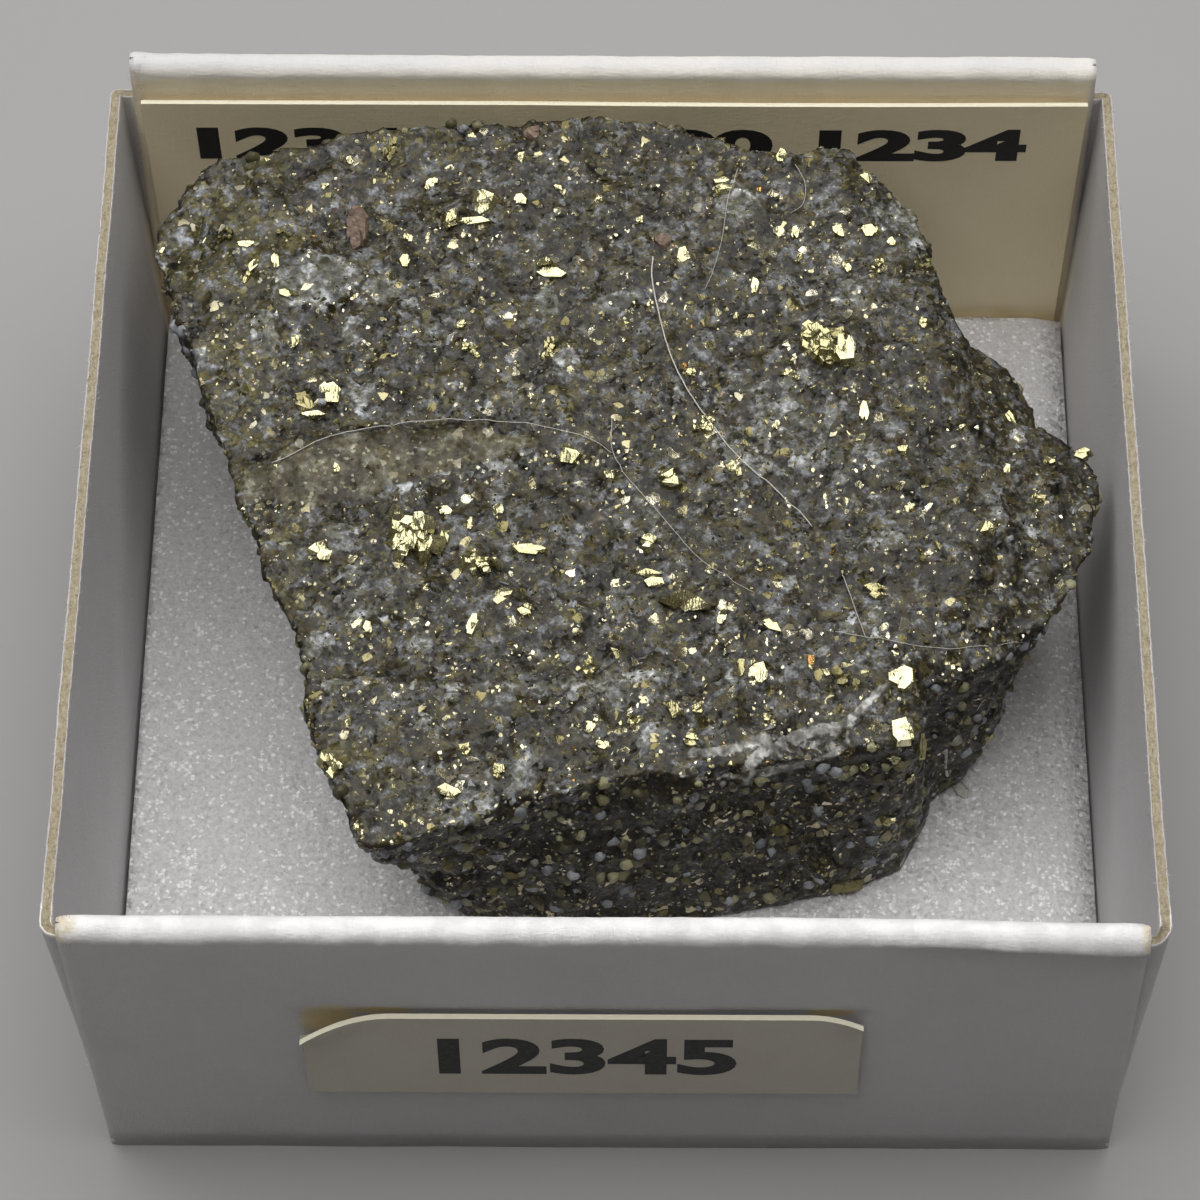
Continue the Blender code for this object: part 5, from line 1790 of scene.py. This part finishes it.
def side_loops(side, flare, seed):
    """Cross-sections of a side wall along its path."""
    random = np.random.RandomState(seed)
    path = side_path(side)
    bow = rough_line([y * 0.12 for (_, y), _ in path], seed)
    loops = []
    for index, ((px, py), (nx, ny)) in enumerate(path):
        from_end = min(index, len(path) - 1 - index)
        top = SIDE_HEIGHT + 0.04 * bow[index]
        if from_end < CORNER_STATIONS:
            dip = 0.9 if side > 0 and py < 0 else 0.25
            top -= dip * eased(CORNER_STATIONS - from_end, 0, 14)
        lean = FRONT_LEAN / FRONT_HEIGHT if py < 0 else BACK_LEAN / BACK_HEIGHT
        lean *= min(1.0, max(0.0, (abs(py) - 16.0) / 3.0))
        section = side_section(top, random)
        shift = random.uniform(-0.012, 0.012)
        points = []
        for across, z in section:
            wave = 0.05 * noise.noise(Vector((py * 0.2, z * 0.15, seed)))
            across = across + wave + (shift if z > top - 0.2 else 0.0)
            out = side * flare * z / SIDE_HEIGHT
            points.append((px + nx * across + out,
                           py + ny * across + math.copysign(lean * z, py), z))
        loops.append(points)
    return loops


def core_finish(column):
    """The raw core is on top, between the two white skins."""
    return 1 if 11 <= column <= 16 else 0


def cut_fray(row, column):
    """Frayed all along the cut rim, from the front corner on."""
    return 1.0 if 9 <= column <= 19 and row > CORNER_STATIONS - 2 else 0.0


for side, flare, seed in ((-1, LEFT_FLARE, 3), (1, RIGHT_FLARE, 4)):
    tray.loops(side_loops(side, flare, seed), core_finish, cut_fray)
print("with side walls:", len(tray.faces), "faces")

# %% [markdown]
# The floor of the blank joins the four walls. Everything becomes one mesh with two
# finishes, and the `fray` values are stored on it.

# %% Tray: floor and mesh
FLOOR_INSET = 0.05
FLOOR_ROWS = 30

floor_left, floor_right = TRAY_LEFT + FLOOR_INSET, TRAY_RIGHT - FLOOR_INSET
floor_edge = HALF_DEPTH - FLOOR_INSET
tray.loops([[(floor_left, y, 0.0), (floor_right, y, 0.0), (floor_right, y, CARD_THICK),
             (floor_left, y, CARD_THICK)]
            for y in np.linspace(-floor_edge, floor_edge, FLOOR_ROWS)])
tray_card = mesh_object("tray_card", tray.points, tray.faces, [CARD, RAW_CORE], tray.finishes,
                        smooth=True)
store(tray_card.data, "fray", tray.fray)
keep_piece(tray_card, "tray_card", "tray")

# %% [markdown]
# The cut edges are frayed: short white and tan fibres stick out of them. They are bent
# wires of a few faces each, scattered by the same Geometry Nodes tree as the grains,
# where the tray's `fray` value is high.

# %% Frayed fibres
BENT_FIBRES = 5


def make_fibre_material():
    """Torn paper fibres, white to tan."""
    material, tree, where = new_material("torn_fibres", IOR=1.4)
    spread = cloud(tree, where, 0.8, 2.0)
    tint = total(tree, (spread, 0.3), (value_of(tree, "tone"), 0.7))
    colour = shades(tree, tint, (0.1, 0.32, 0.26, 0.15), (0.45, 0.48, 0.43, 0.32),
                    (0.75, 0.66, 0.64, 0.60))
    return finished(material, Base_Color=colour, Roughness=follows(tree, spread, 0.7, 0.9))


bent_fibres = bpy.data.collections.new("bent fibres")
draw = np.random.RandomState(17).uniform
for index in range(BENT_FIBRES):
    bend = [Vector((draw(-0.2, 0.2) * share, draw(-0.25, 0.25) * share, 0.6 * share))
            for share in np.linspace(-0.2, 1, 5)]
    points, faces = tube(bend, lambda share: 0.045 * (1.1 - share), 4)
    mesh = bpy.data.meshes.new(f"fibre_{index}")
    mesh.from_pydata(points, [], faces)
    bent_fibres.objects.link(bpy.data.objects.new(mesh.name, mesh))
keep_piece(grown("torn_fibres", tray_card, Shapes=bent_fibres, Room="fray", Per_square_mm=45.0,
                 Smallest=0.08, Largest=0.4, Crowding=2.6, Sink=0.02, Tilt=1.2, Seed=71,
                 Finish=make_fibre_material()), "tray_card")

# %% [markdown]
# The foam is a cut sheet of tiny closed cells, and every cell wall is a small mirror, so
# it glitters. The facet group gives the cells their own faces. Scattered cells are also
# painted white with a smoother finish: painted glints. The low spots of the fine bump are
# painted darker: painted shade in the pits.

# %% Foam material
def make_foam():
    """Greyish white foam with tilted cells, painted white glints and painted shade in its pits.
    """
    material, tree, where = new_material("foam", IOR=1.4)
    soft = cloud(tree, where, 0.12, 3.0)
    patchy = cloud(tree, where, 1.3, 4.0)
    grain = cloud(tree, where, 5.5, 3.0, 0.65)
    cells = facets(tree, where, raised(tree, grain, 0.08), 6.0, 0.7, 0.05)
    glint_cells = facets(tree, where, face_normal(tree), 6.5, 1.0, 0.06)
    body = mix(tree, soft, (0.66, 0.645, 0.645), (0.73, 0.715, 0.715))
    # The low spots of the bump are painted darker: painted shade in the pits.
    pit_shade = step(tree, grain, 0.58, 0.40, 0.0, 0.7)
    body = mix(tree, pit_shade, body, (0.56, 0.545, 0.545))
    pale = step(tree, cells["Grain"], 0.6, 1.0, 0.0, 0.6)
    body = mix(tree, pale, body, (0.82, 0.81, 0.81))
    # Scattered white spots are painted glints, with a smoother finish.
    glint_place = total(tree, (patchy, 0.5), (glint_cells["Grain"], 1))
    painted_glint = product(tree, step(tree, glint_place, 1.06, 1.14),
                    step(tree, glint_cells["Edge"], 0.02, 0.16))
    return finished(material, Base_Color=mix(tree, painted_glint, body, (1.0, 1.0, 1.0)),
                    Roughness=mix(tree, painted_glint, 0.5, 0.25, "FLOAT"), Normal=cells["Normal"])


FOAM = make_foam()
print("foam nodes:", len(FOAM.node_tree.nodes))

# %% [markdown]
# The pad is a slab between two fine grids. Its top dips and rises by hundredths of a
# millimetre, sinks a little under the rock and turns down at the edges.

# %% Foam
FOAM_LEFT, FOAM_RIGHT, FOAM_FRONT, FOAM_BACK, FOAM_LOW = -19.2, 19.45, -18.5, 18.1, 0.48
TOP_LEFT, TOP_RIGHT, RIGHT_LIP = FOAM_LEFT - 0.1, FOAM_RIGHT - 0.85, FOAM_RIGHT + 0.14
LIP_DROP = 0.34
UNDER_ROCK = (-2.0, 2.0, 14.0, 12.0, 0, 1.0)
FOAM_COLUMNS, FOAM_ROWS = 128, 122


def slab(name, near_side, far_side, materials, edge_finish=0, smooth=True):
    """A closed sheet between two grids of points, with its own finish on the edges."""
    rows, columns = near_side.shape[:2]
    count = rows * columns
    points = np.concatenate([near_side.reshape(-1, 3), far_side.reshape(-1, 3)])
    faces = grid_faces(rows, columns)
    faces += [face[::-1] for face in grid_faces(rows, columns, False, count)]
    finishes = [0] * len(faces)
    border = [(0, c) for c in range(columns)] + [(r, columns - 1) for r in range(1, rows)]
    border += [(rows - 1, c) for c in range(columns - 2, -1, -1)]
    border += [(r, 0) for r in range(rows - 2, 0, -1)]
    ring = [r * columns + c for r, c in border]
    for a, b in zip(ring, ring[1:] + ring[:1]):
        faces.append((a, a + count, b + count, b))
        finishes.append(edge_finish)
    return mesh_object(name, points, faces, materials, finishes, smooth)


def foam_bump(px, py):
    """How much the foam's top rises at a place."""
    return (noise.fractal(Vector((px * 0.35, py * 0.35, 0)), 1.0, 2.0, 4) * 0.05
            + noise.noise(Vector((px * 1.8, py * 1.8, 5))) * 0.02)


foam_x, foam_y = np.meshgrid(np.linspace(0, 1, FOAM_COLUMNS), np.linspace(0, 1, FOAM_ROWS))
low_x = FOAM_LEFT + foam_x * (FOAM_RIGHT - FOAM_LEFT)
top_x = TOP_LEFT + foam_x * (TOP_RIGHT - TOP_LEFT)
top_x[:, -1] = RIGHT_LIP
both_y = FOAM_FRONT + foam_y * (FOAM_BACK - FOAM_FRONT)
edge = np.minimum.reduce([foam_x, 1 - foam_x, foam_y, 1 - foam_y])
bumps = np.array([foam_bump(px, py) for px, py in zip(top_x.ravel(), both_y.ravel())])
bumps = bumps.reshape(top_x.shape)
pressed = patch_strength(top_x, both_y, [UNDER_ROCK])
top_z = FOAM_TOP + bumps * (1 - pressed) - 0.05 * pressed - 0.06 * (1 - eased(edge, 0.0, 0.012))
top_z[:, -1] = FOAM_TOP - LIP_DROP
foam = slab("foam_sheet", np.stack([top_x, both_y, top_z], axis=-1),
            np.stack([low_x, both_y, np.full_like(top_z, FOAM_LOW)], axis=-1), [FOAM])
keep_piece(foam, "foam", "foam_pad")

# %% [markdown]
# Two labels: the name card stands behind the rock, and a small paper is glued to the
# front, with its upper corners peeling. Both are thin sheets bent over a fine grid. Their
# cut edges get a pale paper, a painted highlight where the edges catch the light; on the
# number label it is much brighter than the face.

# %% Label papers
def make_label(name, colour, shade, cloudiness, yellow, low, high):
    """Cream paper, yellower towards its foot."""
    material, tree, where = new_material(name, IOR=1.45)
    paper = fibres(tree, where, colour, shade, cloudiness)
    up = numbers_in(tree, where, "XYZ")[2]
    drift = total(tree, (cloud(tree, where, 0.5, 4.0), 1.4), (up, 1))
    # The paper turns darker and yellower towards its foot.
    toward_foot = step(tree, drift, high, low, 0.0, 0.7)
    return finished(material, Base_Color=mix(tree, toward_foot, paper["Colour"], yellow),
                    Roughness=paper["Roughness"], Normal=raised(tree, paper["Height"], 0.02))


NAME_PAPER = make_label("name_paper", (0.97, 0.85, 0.58), (0.92, 0.80, 0.53), 0.8,
                        (0.72, 0.55, 0.22), 3.8, 5.6)
NUMBER_PAPER = make_label("number_paper", (0.52, 0.49, 0.415), (0.47, 0.43, 0.36), 0.8,
                          (0.54, 0.49, 0.38), 5.0, 5.9)
# The cut edges' pale paper is a painted highlight.
EDGE_PAPER_HIGHLIGHT = make_label("paper_edge", (0.90, 0.85, 0.66), (0.84, 0.78, 0.58), 0.6,
                        (0.84, 0.78, 0.58), -9, -8)
print("papers:", NAME_PAPER.name, NUMBER_PAPER.name, EDGE_PAPER_HIGHLIGHT.name)

# %% [markdown]
# The name card fans out a little towards its top and bows between its ends. A function
# says where each point of it stands, because the printing has to follow it later.

# %% Name card
NAME_LEFT, NAME_RIGHT, NAME_LOW, NAME_TOP, NAME_SPREAD = -19.05, 19.3, 0.75, 17.7, 0.4
NAME_BACK = HALF_DEPTH - FOLDED - 0.3
NAME_THICK = 0.2


def paper_sheet(name, size, place_at, thick, paper):
    """A bent sheet of paper; place_at gives the place function at a depth from its front."""
    xs = np.linspace(size[0], size[1], size[4])
    zs = np.linspace(size[2], size[3], 30)
    front, back = [np.array([[place_at(depth)(x, z) for x in xs] for z in zs])
                   for depth in (0.0, thick)]
    return slab(name, front, back, [paper, EDGE_PAPER_HIGHLIGHT], 1, False)


def name_place(depth):
    """Where a point of the name card stands, at a depth from its front."""
    def place(x, z):
        bow = 0.05 * math.sin(x * 0.16 + 0.4) - 0.03 * math.sin(z * 0.2)
        y = NAME_BACK - (NAME_THICK - depth) + BACK_LEAN * z / BACK_HEIGHT - max(0.0, bow)
        fan = NAME_SPREAD * min(1.0, abs(x) / 15) * z / NAME_TOP
        return x + math.copysign(fan, x), y, z
    return place


keep_piece(paper_sheet("name_card", (NAME_LEFT, NAME_RIGHT, NAME_LOW, NAME_TOP, 60), name_place,
                       NAME_THICK, NAME_PAPER), "name_card", "name_label")

# %% [markdown]
# The number label lies on the front wall. Its upper corners stand off, the left one
# most, and a lifted corner also droops a little.

# %% Number label
NUMBER_LEFT, NUMBER_RIGHT, NUMBER_LOW, NUMBER_TOP = -11.5, 9.7, 5.7, 11.9
NUMBER_THICK = 0.22
WALL_GAP = 0.3
LEFT_PEEL, RIGHT_PEEL = 0.9, 0.36


def peel(x, z):
    """How far the number label stands off the wall at a point."""
    left = max(0.0, 1.0 - math.hypot(x - NUMBER_LEFT, (z - NUMBER_TOP) * 1.4) / 3.4)
    right = max(0.0, 1.0 - math.hypot(x - NUMBER_RIGHT, (z - NUMBER_TOP) * 1.8) / 2.0)
    return LEFT_PEEL * left ** 2 + RIGHT_PEEL * right ** 2


def number_place(depth):
    """Where a point of the number label is, at a depth from its front."""
    def place(x, z):
        lift = peel(x, z)
        wall = -HALF_DEPTH - FRONT_LEAN * z / FRONT_HEIGHT
        return x, wall - WALL_GAP - lift + depth - NUMBER_THICK / 2, z - 0.5 * lift
    return place


keep_piece(paper_sheet("number_card", (NUMBER_LEFT, NUMBER_RIGHT, NUMBER_LOW, NUMBER_TOP, 90),
                       number_place, NUMBER_THICK, NUMBER_PAPER), "number_paper", "number_label")

# %% [markdown]
# The printing is plain counting digits, black and bold. A text curve is made bold by its
# offset, turned into a mesh, and its points are laid on the paper, a hair above it.

# %% Printed digits
PRINT_LIFT = 0.012
PRINT_SUNK = 0.002
TEXT_EXTRUDE = 0.004
MERGE_DISTANCE = 1e-7
INK = one_cloud_material("ink", (6.0, 3.0), [(0, 0.012, 0.011, 0.011), (1, 0.030, 0.028, 0.027)],
                         (0.5, 0.7), IOR=1.45)


def printed(name, digits, box, bold, place):
    """Digits in a box (left, right, low, high) on a paper, as a thin closed mesh."""
    left, right, low, high = box
    text = bpy.data.curves.new(name, "FONT")
    text.body = digits
    text.offset = bold
    text.extrude = TEXT_EXTRUDE
    text.resolution_u = 5
    source = linked(name + " text", text)
    piece = evaluated_copy(source, name)
    discard(source)
    raw = vectors_of(piece.data, "co")
    lowest, highest = raw.min(0), raw.max(0)
    share = (raw - lowest) / (highest - lowest)
    points = np.array([place(left + (right - left) * a, low + (high - low) * b)
                       for a, b in share[:, :2]])
    points[:, 1] -= share[:, 2] * PRINT_LIFT - PRINT_SUNK
    set_points(piece.data, points)
    turn_outwards(piece.data, MERGE_DISTANCE)
    coat(piece.data, INK)
    return piece


keep_piece(printed("number_digits", "12345", (-6.4, 5.0, 7.3, 10.3), 0.035,
                   number_place(0.0)), "number_paper")
keep_piece(printed("name_digits", "12345 67890 1234", (-16.9, 17.0, 14.2, 16.3), 0.05,
                   name_place(0.0)), "name_card")

# %% [markdown]
# A wide pale sheet carries the tray. It is part of the studio, not of the object.

# %% Floor
FLOOR_HALF = 1500.0
PALE_FLOOR = one_cloud_material(
    "floor", (0.02, 3.0), [(0, 0.33, 0.325, 0.32), (1, 0.36, 0.355, 0.35)], (0.75, 0.85))
corners = [(FLOOR_HALF * right, FLOOR_HALF * back, 0)
           for right, back in ((-1, -1), (1, -1), (1, 1), (-1, 1))]
floor = mesh_object("floor", corners, [(0, 1, 2, 3)], [PALE_FLOOR], closed=False)
floor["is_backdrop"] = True
print("floor:", 2 * FLOOR_HALF, "mm wide")

# %% [markdown]
# Last, the helper shapes go, and the two boxes are written down for comparison.

# %% Sizes and the end
for collection in (splinters, pebbles, bent_fibres):
    for item in list(collection.objects):
        discard(item)
    bpy.data.collections.remove(collection)
low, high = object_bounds()
grown_by = [(a - b) / MM for a, b in zip((*low, *high), (*cad_low, *cad_high))]
print("grown by (mm):", [round(v, 2) for v in grown_by])
